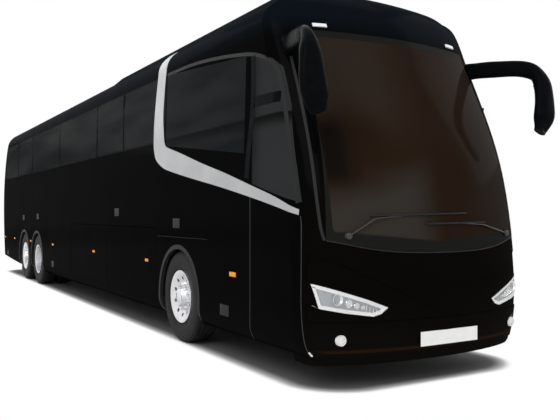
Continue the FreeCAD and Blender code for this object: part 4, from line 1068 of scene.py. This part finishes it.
def sideTile(name, side, y, z, size, proud, finish):
    # a flat tile on the side's skin, with its outer edges rounded
    length, height = size
    edges = []
    for edge in (z - height / 2, z + height / 2):
        ends = [onSide(end, edge, sides[side]) for end in (y - length / 2, y + length / 2)]
        edges.append(smoothLine(ends, 5))
    tile = skinStrip(name, *edges, proud, 1)
    openPiece(tile)
    roundEdges(tile, min(proud, height) * 0.3)
    finishPiece(tile, finish, body=bodyAt(y, z, side))


for side in sides:
    front = markers["front"][side]
    for k, y in enumerate(markers["along"] + [front]):
        size = markers["frontSize" if y == front else "size"]
        sideTile(f"marker{side}{k}", side, y, markers["height"], size, markers["proud"], "amber")
    for k, (y, z) in enumerate(catches["places"]):
        # one catch stands where the entrance door is on the left
        if side == "Right" or k != catches["atDoor"]:
            sideTile(f"catch{side}{k}", side, y, z, catches["size"], catches["proud"],
                     "gratingGrey")
for k, (x, z) in enumerate(topMarkers["places"]):
    ends = (x - topMarkers["half"], x + topMarkers["half"])
    edges = [smoothLine([onFront(end, z + rise) for end in ends], 6) for rise in topMarkers["rises"]]
    finishPiece(skinStrip(f"topMarker{k}", *edges, topMarkers["proud"], 1), "white")

plateSize = {"width": 0.67, "height": 0.124, "thickness": 0.004, "frontHeight": 0.402, "rearHeight": 0.62,
             "aside": 0.045, "frontProud": 0.01, "rearProud": 0.006}


def blankPlate(name, place, facing, body):
    tile = block(name, (plateSize["width"], plateSize["thickness"], plateSize["height"]), place)
    roundEdges(tile, 0.0012, 1)
    pick(tile, lambda face: face.normal.y * facing > 0.9 and face.calc_area() > 0.01)
    bpy.ops.mesh.inset(thickness=0.006, depth=-0.0008)
    finishPiece(tile, "white", body=body)


blankPlate("frontPlate", onFront(plateSize["aside"], plateSize["frontHeight"], plateSize["frontProud"]), -1,
           "coach_body")
blankPlate("rearPlate", onTail(0, plateSize["rearHeight"], plateSize["rearProud"]), 1, "engine_door")
print("small lamps ready")

# wipers: places as (x, z)

wipers = {
    "Right": {"pivot": (-0.93, 1.285), "knee": (-0.70, 1.43), "blade": [(-0.74, 1.452), (0.30, 1.475)]},
    "Left": {"pivot": (0.93, 1.285), "knee": (0.50, 1.372), "blade": [(0.56, 1.392), (-0.20, 1.382)]},
}
wiperLift = {"pivot": 0.012, "knee": 0.03, "blade": 0.012, "holder": 0.014, "rod": 0.01}
wiperSize = {"arm": (0.02, 0.012), "rod": (0.014, 0.009), "blade": (0.016, 0.014), "spans": 4,
             "boss": [(0.02, 0.03), (-0.012, 0.028), (-0.02, 0.02), (-0.022, 0.0)]}
for side, places in wipers.items():
    pivot = onFront(*places["pivot"], wiperLift["pivot"])
    knee = onFront(*places["knee"], wiperLift["knee"])
    heel, tip = (onFront(*end, wiperLift["holder"]) for end in places["blade"])
    boss = lathe(f"wiperBoss{side}", wiperSize["boss"], pivot, "Y", 24)
    finishPiece(boss, "wiperGrey")
    rodEnd = tip.lerp(heel, 0.5) - Vector((0, wiperLift["rod"], 0))
    arms = [bar(f"wiperArm{side}", pivot, knee, *wiperSize["arm"]),
            bar(f"wiperRod{side}", knee, rodEnd, *wiperSize["rod"])]
    spots = [heel.lerp(tip, k / wiperSize["spans"]) for k in range(wiperSize["spans"] + 1)]
    spots = [onFront(spot.x, spot.z, wiperLift["blade"]) for spot in spots]
    blade = [bar(f"wiperBlade{side}{k}", *ends, *wiperSize["blade"])
             for k, ends in enumerate(zip(spots, spots[1:]))]
    finishPiece(joinPieces(arms, f"wiperArms{side}"), "wiperGrey")
    finishPiece(joinPieces(blade, f"wiperBlade{side}"), "rubber")
print("wipers ready")

# seats: cushions swollen by cloth simulation, seams, shells, legs and arms

seatSize = {"width": 0.462, "places": (0.43, 0.96), "rows": 14, "first": coach["nose"] + 2.35, "pitch": 0.78,
            "floor": 1.5, "lean": math.radians(9.2), "arms": (-0.487, 0, 0.487), "foot": 2.6,
            "driver": (-0.68, coach["nose"] + 1.0, 1.02),
            # sizes and places on one seat: y forwards to back, z up from its floor
            "shell": (0.02, 0.74), "shellFoot": (0.552, 0.315),
            "pan": (0.43, 0.022), "panPlace": (0, 0.24, 0.311),
            "arm": (0.042, 0.36, 0.03), "armPlace": (0.27, 0.60), "armTip": (0, 0.105, -0.005),
            "leg": (0.05, 0.09, 0.28), "legPlace": (0, 0.3, 0.15)}
cushion = {"base": (0.40, 0.075), "basePlace": (0, 0.208, 0.358), "back": (0.062, 0.655),
           "backFoot": (0.482, 0.412), "voxel": 0.02, "pressure": 4.0, "swell": 0.022, "frames": 20,
           "seamWidth": 0.02, "seamDepth": 0.009, "cord": 0.0035}


def swell(piece, cap):
    # the cover is blown up round its filling; no point moves further than the cap
    useModifier(piece, "REMESH", mode="VOXEL", voxel_size=cushion["voxel"])
    before = [vertex.co.copy() for vertex in piece.data.vertices]
    cloth = piece.modifiers.new("cloth", "CLOTH")
    cloth.settings.use_pressure = True
    cloth.settings.uniform_pressure_force = cushion["pressure"]
    cloth.settings.effector_weights.gravity = 0
    for frameNumber in range(1, cushion["frames"] + 1):
        bpy.context.scene.frame_set(frameNumber)
    blown = piece.evaluated_get(bpy.context.evaluated_depsgraph_get()).data
    moves = [vertex.co - start for vertex, start in zip(blown.vertices, before)]
    piece.modifiers.remove(cloth)
    bpy.context.scene.frame_set(1)
    drift = sum(moves, Vector()) / len(moves)
    for vertex, start, move in zip(piece.data.vertices, before, moves):
        move = move - drift
        vertex.co = start + move * min(1, cap / max(move.length, 1e-6))


def pressSeam(piece, depth, rule):
    # a sewn channel: points near the seam go in along their normals
    normals = [vertex.normal.copy() for vertex in piece.data.vertices]
    for vertex, normal in zip(piece.data.vertices, normals):
        near = max(0.0, 1 - abs(rule(vertex.co, normal)) / cushion["seamWidth"])
        vertex.co -= normal * depth * near * near * (3 - 2 * near)


def makeBaseCushion():
    width = seatSize["width"] - 0.012
    middleY, halfDepth = cushion["basePlace"][1], cushion["base"][0] / 2
    base = block("baseCushion", (width, *cushion["base"]), cushion["basePlace"], 7)
    roundEdges(base, 0.016, 2, 1)
    shape = bmesh.from_edit_mesh(base.data)
    for vertex in shape.verts:
        across, along = vertex.co.x / (width / 2), (vertex.co.y - middleY) / halfDepth
        vertex.co.x *= 1 - 0.035 * (1 - along * along)
        vertex.co.y += 0.008 * (1 - across * across) * (1 if along < -0.9 else 0)
        vertex.co.z += 0.012 * across * across - 0.022 * max(0, along) + 0.01 * max(0, -along)
    bmesh.update_edit_mesh(base.data)
    swell(base, cushion["swell"])
    pressSeam(base, cushion["seamDepth"], lambda at, n: abs(at.x) - 0.145 if n.z > 0.2 else 1)
    pressSeam(base, 0.007, lambda at, n: at.y - 0.12 if n.z > 0.2 else 1)
    return base


def makeBackCushion():
    width, height = seatSize["width"] - 0.014, cushion["back"][1]
    back = block("backCushion", (width, *cushion["back"]), (0, 0, 0.33), 9)
    roundEdges(back, 0.014, 2, 1)
    shape = bmesh.from_edit_mesh(back.data)
    for vertex in shape.verts:
        across, up = vertex.co.x / (width / 2), vertex.co.z / height
        vertex.co.x *= 1 - 0.03 * math.sin(math.pi * up) - 0.16 * max(0, up - 0.8)
        if vertex.co.y < 0:
            vertex.co.y += 0.012 - 0.02 * across * across - 0.012 * math.sin(math.pi * up * 1.6)
    bmesh.update_edit_mesh(back.data)
    swell(back, cushion["swell"] * 0.8)
    for depth, rule in ((cushion["seamDepth"], lambda at: abs(at.x) - 0.14 if at.z < 0.49 else 1),
                        (cushion["seamDepth"], lambda at: at.z - 0.49),
                        (0.006, lambda at: at.z - 0.2)):
        pressSeam(back, depth, lambda at, n: rule(at) if n.y < -0.2 else 1)
    for vertex in back.data.vertices:
        vertex.co = leanBack(vertex.co, *cushion["backFoot"])
    return back


def leanBack(at, y, z, share=1.0):
    # a point of an upright back, leant and set at its place
    lean = seatSize["lean"]
    return Vector((at.x, y + at.y * math.cos(lean) + at.z * math.sin(lean) * share,
                   z - at.y * math.sin(lean) + at.z * math.cos(lean)))


def cushionPiping(base, back):
    # a sewn cord round the base's top and the back's face, laid on the swollen covers
    half = seatSize["width"] / 2 - 0.012
    lean = math.tan(seatSize["lean"])
    top = [(-1, 0.04, 0.425), (-1, 0.2, 0.42), (-1, 0.38, 0.41), (0, 0.42, 0.41), (1, 0.38, 0.41),
           (1, 0.2, 0.42), (1, 0.04, 0.425), (0.8, -0.01, 0.42), (0, -0.02, 0.42), (-0.8, -0.01, 0.42)]
    face = [(-1, 0.43 + z * lean, 0.42 + z) for z in (0.03, 0.3, 0.58)]
    face += [(-0.8, 0.43 + 0.66 * lean, 1.09), (0, 0.43 + 0.67 * lean, 1.1), (0.8, 0.43 + 0.66 * lean, 1.09)]
    face += [(1, 0.43 + z * lean, 0.42 + z) for z in (0.58, 0.3, 0.03)] + [(0, 0.42, 0.4)]
    cords = []
    for name, padding, guide in (("basePiping", base, top), ("backPiping", back, face)):
        cover = treeOf([padding.data])
        guide = [(x * half, y, z) for x, y, z in guide + guide[:1]]
        line = [cover.find_nearest(point)[0] for point in smoothLine(guide, 41)[:-1]]
        cords.append(closedCord(name, line, cushion["cord"]))
    return joinPieces(cords, "cushionPiping")


def seatShell():
    # the moulded shell behind one place's back, and the pan under its base
    width, height = seatSize["width"], seatSize["shell"][1]
    shell = block("seatShell", (width, *seatSize["shell"]), (0, 0, height / 2), 5)
    shape = bmesh.from_edit_mesh(shell.data)
    for vertex in shape.verts:
        across, up = vertex.co.x / (width / 2), vertex.co.z / height
        vertex.co.x *= 1 - 0.14 * max(0, up - 0.75)
        vertex.co.y -= 0.02 * across * across + 0.01 * up
        vertex.co = leanBack(vertex.co, *seatSize["shellFoot"], 0.78)
    bmesh.update_edit_mesh(shell.data)
    roundEdges(shell, 0.006, 2, 1)
    pan = block("seatPan", (width - 0.02, *seatSize["pan"]), seatSize["panPlace"])
    roundEdges(pan, 0.006)
    clearPick()
    return joinPieces([shell, pan], "seatShell")


def seatArm(x):
    arm = block("seatArm", seatSize["arm"], (x, *seatSize["armPlace"]))
    pick(arm, lambda face: face.normal.y > 0.9)
    bpy.ops.mesh.inset(thickness=0.006, depth=0)
    pull(seatSize["armTip"])
    pick(arm, lambda face: face.normal.z < -0.9 and face.calc_area() > 0.01)
    bpy.ops.mesh.inset(thickness=0.008, depth=0)
    pull((0, 0, -0.008))
    roundEdges(arm, 0.008, 2, 1)
    clearPick()
    return arm


def seatLeg():
    # a post with a wider foot and head
    leg = block("seatLeg", seatSize["leg"], seatSize["legPlace"])
    pick(leg, lambda face: face.normal.z < -0.9)
    bpy.ops.mesh.inset(thickness=0.004, depth=0)
    pull((0, 0, -0.002))
    bpy.ops.transform.resize(value=(1.2, seatSize["foot"], 1), center_override=(0, 0.3, 0.01))
    pull((0, 0, -0.008))
    pick(leg, lambda face: face.normal.z > 0.9)
    bpy.ops.transform.resize(value=(1.2, seatSize["foot"], 1), center_override=(0, 0.3, 0.29))
    roundEdges(leg, 0.005, 1)
    clearPick()
    return leg


def dressSeats(master, name, places, finish, node):
    piece = joinPieces([copyPiece(master, name, place) for place in places], name)
    finishPiece(piece, finish, 60)
    finish == "seat_fabric"
    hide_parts(node)


def makeSeats():
    base, back = makeBaseCushion(), makeBackCushion()
    print("cushions blown up")
    piping, shell = cushionPiping(base, back), seatShell()
    arms = joinPieces([seatArm(x) for x in seatSize["arms"]], "seatArms")
    leg = seatLeg()
    # master, its passenger and driver names, finish and slot; a driver's seat has no such arms
    pieces = [(base, "baseCushions", "driverBase", "seat_fabric", "seat_fabric"),
              (back, "backCushions", "driverBack", "seat_fabric", "seat_fabric"),
              (piping, "seatPiping", "driverPiping", "piping", "seat_fabric"),
              (shell, "seatShells", "driverShell", "seatGrey", "dark_plastic"),
              (arms, "seatArmrests", None, "seatGrey", "dark_plastic"),
              (leg, "seatLegs", "driverLegs", "chassis_paint", "chassis_paint")]
    rows = [seatSize["first"] + k * seatSize["pitch"] for k in range(seatSize["rows"])]
    for side, sign in sides.items():
        for master, name, driverName, finish, slot in pieces:
            across = seatSize["places"] if master != arms else [sum(seatSize["places"]) / 2]
            places = [(sign * x, y, seatSize["floor"]) for y in rows for x in across]
            dressSeats(master, name + side, places, finish, f"passenger_seats_{side.lower()}")
    for master, name, driverName, finish, slot in pieces:
        if driverName:
            dressSeats(master, driverName, [seatSize["driver"]], finish, "driver_seat")
        bpy.data.objects.remove(master)


makeSeats()
print("seats ready")

# the painted lip under the front bumper, followed round from one side to the other

# its rows are set back and down by these shares of the rake and the drop
lipUnder = {"centre": (0, -6.35), "high": 0.30, "low": 0.212, "reach": 66, "points": 49, "rake": 0.03,
            "behind": 0.012, "thickness": 0.008, "rows": [(0, 0), (0.3, 0.6), (1, 1)]}
cornerTip = {"line": [(-7.14, 0.292), (-7.122, 0.325)], "width": 0.014}


def makeFrontLip():
    centre = Vector((*lipUnder["centre"], lipUnder["high"]))
    drop = lipUnder["low"] - lipUnder["high"]
    lines = [[] for row in lipUnder["rows"]]
    for k in range(lipUnder["points"]):
        angle = math.radians(lipUnder["reach"] * (2 * k / (lipUnder["points"] - 1) - 1))
        out = Vector((math.sin(angle), -math.cos(angle), 0))
        top = skin.ray_cast(centre + out * 3, -out)[0] - out * lipUnder["behind"]
        inward = (Vector((0, centre.y, top.z)) - top).normalized() * lipUnder["rake"]
        for line, (share, fall) in zip(lines, lipUnder["rows"]):
            line.append(top + inward * share + Vector((0, 0, drop * fall)))
    lip = sheetThrough("frontLip", lines)
    tidyMesh()
    thicken(lip, lipUnder["thickness"], -1)
    return lip


finishPiece(makeFrontLip(), "body_paint", 50)
for side, sign in sides.items():
    tip = sideStrip(f"cornerTip{side}", cornerTip["line"], cornerTip["width"], sign, 5)
    finishPiece(tip, "chrome")

# seals round the entrance door's leaf, on the leaf itself

sealSize = {"over": 0.009, "on": 0.008, "steps": 24, "inside": 0.002, "lift": 0.0004, "thickness": 0.004}


def makeDoorSeal():
    low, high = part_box("entrance_door")
    inside = sealSize["inside"]
    rows = []
    for out in (sealSize["over"], -sealSize["on"]):
        ring = [(low.y - out, low.z - out), (low.y - out, high.z + out), (high.y + out, high.z + out),
                (high.y + out, low.z - out)]
        line = []
        for (y, z), (nextY, nextZ) in zip(ring, ring[1:] + ring[:1]):
            for k in range(sealSize["steps"]):
                u = k / sealSize["steps"]
                point = Vector((0, y + (nextY - y) * u, z + (nextZ - z) * u))
                onLeafY = min(max(point.y, low.y + inside), high.y - inside)
                onLeafZ = min(max(point.z, low.z + inside), high.z - inside)
                point.x = onSide(onLeafY, onLeafZ, 1).x + sealSize["lift"]
                line.append(point)
        rows.append(line + line[:1])
    seal = sheetThrough("entranceSeal", rows)
    tidyMesh()
    thicken(seal, sealSize["thickness"], 0)
    return seal


wellSize = {"inner": 0.52, "outer": 1.19, "low": 0.35, "high": 1.0, "behind": 0.02, "thickness": 0.012}
riserSize = {"right": 0.06, "left": 0.4, "ahead": 0.008, "thickness": 0.012}


def makeWellLining():
    # a ribbed panel that closes the step well's rear side
    x, z = (wellSize["inner"] + wellSize["outer"]) / 2, (wellSize["low"] + wellSize["high"]) / 2
    sizes = (wellSize["outer"] - wellSize["inner"], wellSize["thickness"], wellSize["high"] - wellSize["low"])
    panel = block("wellLining", sizes, (x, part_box("entrance_door")[1].y + wellSize["behind"], z), 5)
    pick(panel, lambda face: face.normal.y < -0.5)
    bpy.ops.mesh.inset(thickness=0.008, depth=-0.002, use_individual=True)
    return panel


def makeDeckRiser():
    # the upright panel between the cab floor and the saloon floor
    low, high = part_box("cab_floor")
    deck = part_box("floor_deck")[0]
    sizes = (riserSize["left"] - low.x - riserSize["right"], riserSize["thickness"], deck.z - high.z)
    place = ((low.x + riserSize["left"]) / 2, deck.y - riserSize["ahead"], (high.z + deck.z) / 2)
    panel = block("deckRiser", sizes, place, 3)
    pick(panel, lambda face: face.normal.y < -0.5)
    bpy.ops.mesh.inset(thickness=0.01, depth=-0.002)
    return panel


finishPiece(makeDeckRiser(), "dark_plastic")
finishPiece(makeWellLining(), "dark_plastic")
finishPiece(makeDoorSeal(), "rubber", 50, "entrance_door")
print("lip and seals ready")

# mirror glass on the heads' rear faces

mirrorGlass = {"share": (0.84, 1, 0.9), "below": 2.84, "behind": 0.004, "thickness": 0.002}
for side in sides:
    rear = nodeSkin("mirror_" + side.lower(), f"mirrorGlass{side}",
                    lambda face: face.normal.y > 0.75 and face.calc_center_median().z < mirrorGlass["below"])
    corners = [vertex.co for vertex in bmesh.from_edit_mesh(rear.data).verts]
    centre = sum(corners, Vector()) / len(corners)
    selectAll()
    bpy.ops.transform.resize(value=mirrorGlass["share"], center_override=centre)
    bpy.ops.transform.translate(value=(0, mirrorGlass["behind"], 0))
    thicken(rear, mirrorGlass["thickness"], 0)
    finishPiece(rear, "chrome", 50)
print("mirror glass ready")

# the tail's louvres, handle and lamp rims, the roof hatches and the mud flaps

tailSize = {"louvres": 9, "low": 0.84, "pitch": 0.055, "half": 0.62, "slat": (0.014, 0.03), "lift": 0.002,
            "handleHeight": 0.735, "handleHalf": 0.09, "handle": (0.012, 0.03), "handleLift": 0.004,
            "rimWidth": 0.01, "rimThickness": 0.004}
hatchSize = {"across": (-0.36, -0.24, -0.12, 0, 0.12, 0.24, 0.36), "along": (-0.34, -0.2, 0, 0.2, 0.34),
             "thickness": 0.03, "border": 0.05, "crown": 0.004,
             "places": {"hatchFront": 0.9, "hatchRear": 4.6}}
flapSize = {"sizes": (0.3, 0.008, 0.3), "across": 1.06, "behind": 0.6, "height": 0.31}


def makeTail():
    slats = []
    for k in range(tailSize["louvres"]):
        z = tailSize["low"] + k * tailSize["pitch"]
        spots = [onTail(x, z, tailSize["lift"]) for x in (-tailSize["half"], 0, tailSize["half"])]
        slats += [bar(f"slat{k}", *ends, *tailSize["slat"]) for ends in zip(spots, spots[1:])]
    finishPiece(joinPieces(slats, "engineLouvres"), "dark_plastic", body="engine_door")
    ends = [onTail(x, tailSize["handleHeight"], tailSize["handleLift"])
            for x in (-tailSize["handleHalf"], tailSize["handleHalf"])]
    grip = bar("engineHandle", *ends, *tailSize["handle"])
    finishPiece(grip, "dark_plastic", body="engine_door")


def makeHatch(name, y):
    rows = [[onRoof(x, y + along) for x in hatchSize["across"]] for along in hatchSize["along"]]
    hatch = sheetThrough(name, rows)
    tidyMesh()
    thicken(hatch, hatchSize["thickness"], 0)
    openPiece(hatch)
    pick(hatch, lambda face: face.normal.z > 0.9)
    bpy.ops.mesh.inset(thickness=hatchSize["border"], depth=hatchSize["crown"])
    roundEdges(hatch, 0.006, 2, 1)
    finishPiece(hatch, "body_paint", 40)


def makeMudFlap(side):
    place = (sides[side] * flapSize["across"], axles["tag"] + flapSize["behind"], flapSize["height"])
    flap = block(f"mudFlap{side}", flapSize["sizes"], place, 4)
    pick(flap, lambda vertex: vertex.co.z < 0.2, "verts")
    bpy.ops.transform.translate(value=(0, 0.012, 0))
    pick(flap, lambda face: face.normal.y > 0.5)
    bpy.ops.mesh.inset(thickness=0.01, depth=0.002)
    roundEdges(flap, 0.002, 1, 1)
    finishPiece(flap, "rubber")


def lampFace(face):
    # a rear face that no part of the skin covers by more than 20 mm
    spot = face.calc_center_median()
    hit = skin.ray_cast(spot + Vector((0, 0.4, 0)), Vector((0, -1, 0)))[0] or Vector()
    return face.normal.y > 0.6 and hit.y < spot.y + 0.02


def makeTailRims():
    # a dark rim round each lamp
    rims = nodeSkin("tail_lamps", "tailLampRims", lampFace)
    selectAll()
    bpy.ops.mesh.dissolve_limited(angle_limit=math.radians(2))
    selectAll()
    bpy.ops.mesh.inset(thickness=tailSize["rimWidth"], depth=tailSize["rimThickness"], use_boundary=True)
    bpy.ops.mesh.delete(type="FACE")
    thicken(rims, tailSize["rimThickness"], 1)
    finishPiece(rims, "glossBlack", 40)


makeTailRims()
makeTail()
for name, y in hatchSize["places"].items():
    makeHatch(name, y)
for side in sides:
    makeMudFlap(side)
print("tail, hatches and flaps ready")

# cab: a hooded instrument cluster and switches on the dashboard

dashSize = {"across": -0.68, "top": 1.32, "front": coach["nose"] + 0.66, "hood": (0.44, 0.16, 0.10),
            "dials": (-0.11, 0.0, 0.11), "dialBehind": 0.052, "dialHeight": 0.052,
            "dial": [(0.0, 0.04), (0.006, 0.041), (0.008, 0.038), (0.004, 0.035), (0.003, 0)],
            "switches": 8, "firstSwitch": -0.2, "switchPitch": 0.05, "switch": (0.024, 0.036, 0.012)}


def makeCluster():
    x, y, z = dashSize["across"], dashSize["front"], dashSize["top"]
    hood = block("clusterHood", dashSize["hood"], (x, y, z + dashSize["hood"][2] / 2))
    pick(hood, lambda face: face.normal.y > 0.9)
    bpy.ops.mesh.inset(thickness=0.014, depth=-0.03)
    pick(hood, lambda face: face.normal.z > 0.9 and face.calc_center_median().z > z + 0.09)
    bpy.ops.mesh.inset(thickness=0.02, depth=0.012)
    roundEdges(hood, 0.01, 2, 1)
    finishPiece(hood, "dashGrey")
    for k, shift in enumerate(dashSize["dials"]):
        place = (x + shift, y + dashSize["dialBehind"], z + dashSize["dialHeight"])
        dial = lathe(f"dial{k}", dashSize["dial"], place, "Y", 28)
        finishPiece(dial, "wiperGrey")
    switches = []
    for k in range(dashSize["switches"]):
        place = (dashSize["firstSwitch"] + k * dashSize["switchPitch"], y + 0.02, z + 0.004)
        switch = block("switch", dashSize["switch"], place)
        pick(switch, lambda face: face.normal.z > 0.9)
        bpy.ops.mesh.inset(thickness=0.003, depth=0.002)
        switches.append(switch)
    clearPick()
    finishPiece(joinPieces(switches, "dashSwitches"), "wiperGrey")


makeCluster()
print("cab ready")

# studio: floor, world, lamps and camera

studio = {
    "floor": 0.93, "underCoach": 0.16, "floorSize": 120, "worldLight": 0.7,
    # half the coach's outline less its corner radius, and that radius
    "halfWidth": 0.68, "halfLength": 6.8, "corner": 0.5,
    # how far inside or outside that outline the shade and the white ground begin and end
    "shade": (0.1, -0.1), "white": (0.02, 0.12),
    # place, turn in degrees, size and power of each lamp
    "lamps": [("keyLight", (-14, -16, 13), (48, 0, -42), 12, 1500),
              ("fillLight", (15, -6, 11), (52, 0, 68), 12, 700),
              ("topLight", (0, 2, 16), (0, 0, 0), 18, 900),
              ("backLight", (-4, 18, 10), (-58, 0, 12), 12, 500)],
    "camera": (-4.33, -11.92, 1.47), "cameraTurn": (90.30, 0, -30.74), "lens": 44.6,
}


def makeFloor():
    floor = startPiece("plane", "studioFloor", size=studio["floorSize"], location=(0, 0, -0.0005))
    bpy.ops.mesh.subdivide(number_cuts=4)
    clearPick()
    ground = Finish("paleFloor", specular=0.1, roughness=0.7)
    grain = ground.noise(3.0, 3.0)
    # how far a point of the floor lies outside the coach's rounded outline
    aside = abs(ground.part("X")) - studio["halfWidth"]
    ahead = abs(ground.part("Y")) - studio["halfLength"]
    aside = aside.maths("MAXIMUM", aside, 0.0)
    ahead = ahead.maths("MAXIMUM", ahead, 0.0)
    far = aside * aside + ahead * ahead
    far = far.maths("SQRT", far) - studio["corner"]
    pale = ground.blend(grain, (studio["floor"],) * 3, (studio["floor"] * 1.01,) * 3)
    # a painted shadow: the floor's own colour goes dark inside the coach's outline
    paintedShade = (studio["underCoach"],) * 3
    ground.feed(baseColor=ground.blend(ground.between(far, *studio["shade"]), pale, paintedShade))
    glow = ground.node("ShaderNodeEmission", None, {"Color": (1, 1, 1), "Strength": 1.0})
    seen = ground.node("ShaderNodeLightPath", None, None, "Is Camera Ray")
    mix = ground.node("ShaderNodeMixShader", None, {0: ground.between(far, *studio["white"]) * seen,
                                                    1: Wire(ground, ground.shader.outputs[0]), 2: glow})
    ground.join(ground.tree.nodes["Material Output"].inputs["Surface"], mix)
    floor.data.materials.append(ground.material)


def makeWorld():
    # soft light on the coach; white where the camera, gloss or glass looks past it
    world = bpy.data.worlds.new("studio")
    bpy.context.scene.world = world
    world.use_nodes = True
    add, links = world.node_tree.nodes.new, world.node_tree.links
    world.node_tree.nodes.clear()
    light, white, paths, mix, out = (add("ShaderNode" + kind) for kind in (
        "Background", "Background", "LightPath", "MixShader", "OutputWorld"))
    for background, strength in ((light, studio["worldLight"]), (white, 1.0)):
        background.inputs["Color"].default_value = (1, 1, 1, 1)
        background.inputs["Strength"].default_value = strength
    seen = paths.outputs["Is Camera Ray"]
    for ray in ("Is Glossy Ray", "Is Transmission Ray"):
        either = add("ShaderNodeMath")
        either.operation = "MAXIMUM"
        links.new(seen, either.inputs[0])
        links.new(paths.outputs[ray], either.inputs[1])
        seen = either.outputs[0]
    for k, socket in enumerate((seen, light.outputs[0], white.outputs[0])):
        links.new(socket, mix.inputs[k])
    links.new(mix.outputs[0], out.inputs["Surface"])


def setUp(name, data, place, turn):
    holder = bpy.data.objects.new(name, data)
    holder.location = place
    holder.rotation_euler = [math.radians(angle) for angle in turn]
    bpy.context.scene.collection.objects.link(holder)
    return holder


makeFloor()
makeWorld()
for name, place, turn, size, power in studio["lamps"]:
    lamp = bpy.data.lights.new(name, "AREA")
    lamp.shape = "SQUARE"
    lamp.size = size
    lamp.energy = power
    setUp(name, lamp, place, turn)
camera = bpy.data.cameras.new("camera")
camera.lens = studio["lens"]
camera.sensor_width = 36
camera.clip_end = 300
bpy.context.scene.camera = setUp("camera", camera, studio["camera"], studio["cameraTurn"])
bpy.context.scene.view_settings.view_transform = "Standard"
print("studio ready")

clearPick()
bpy.context.view_layer.update()
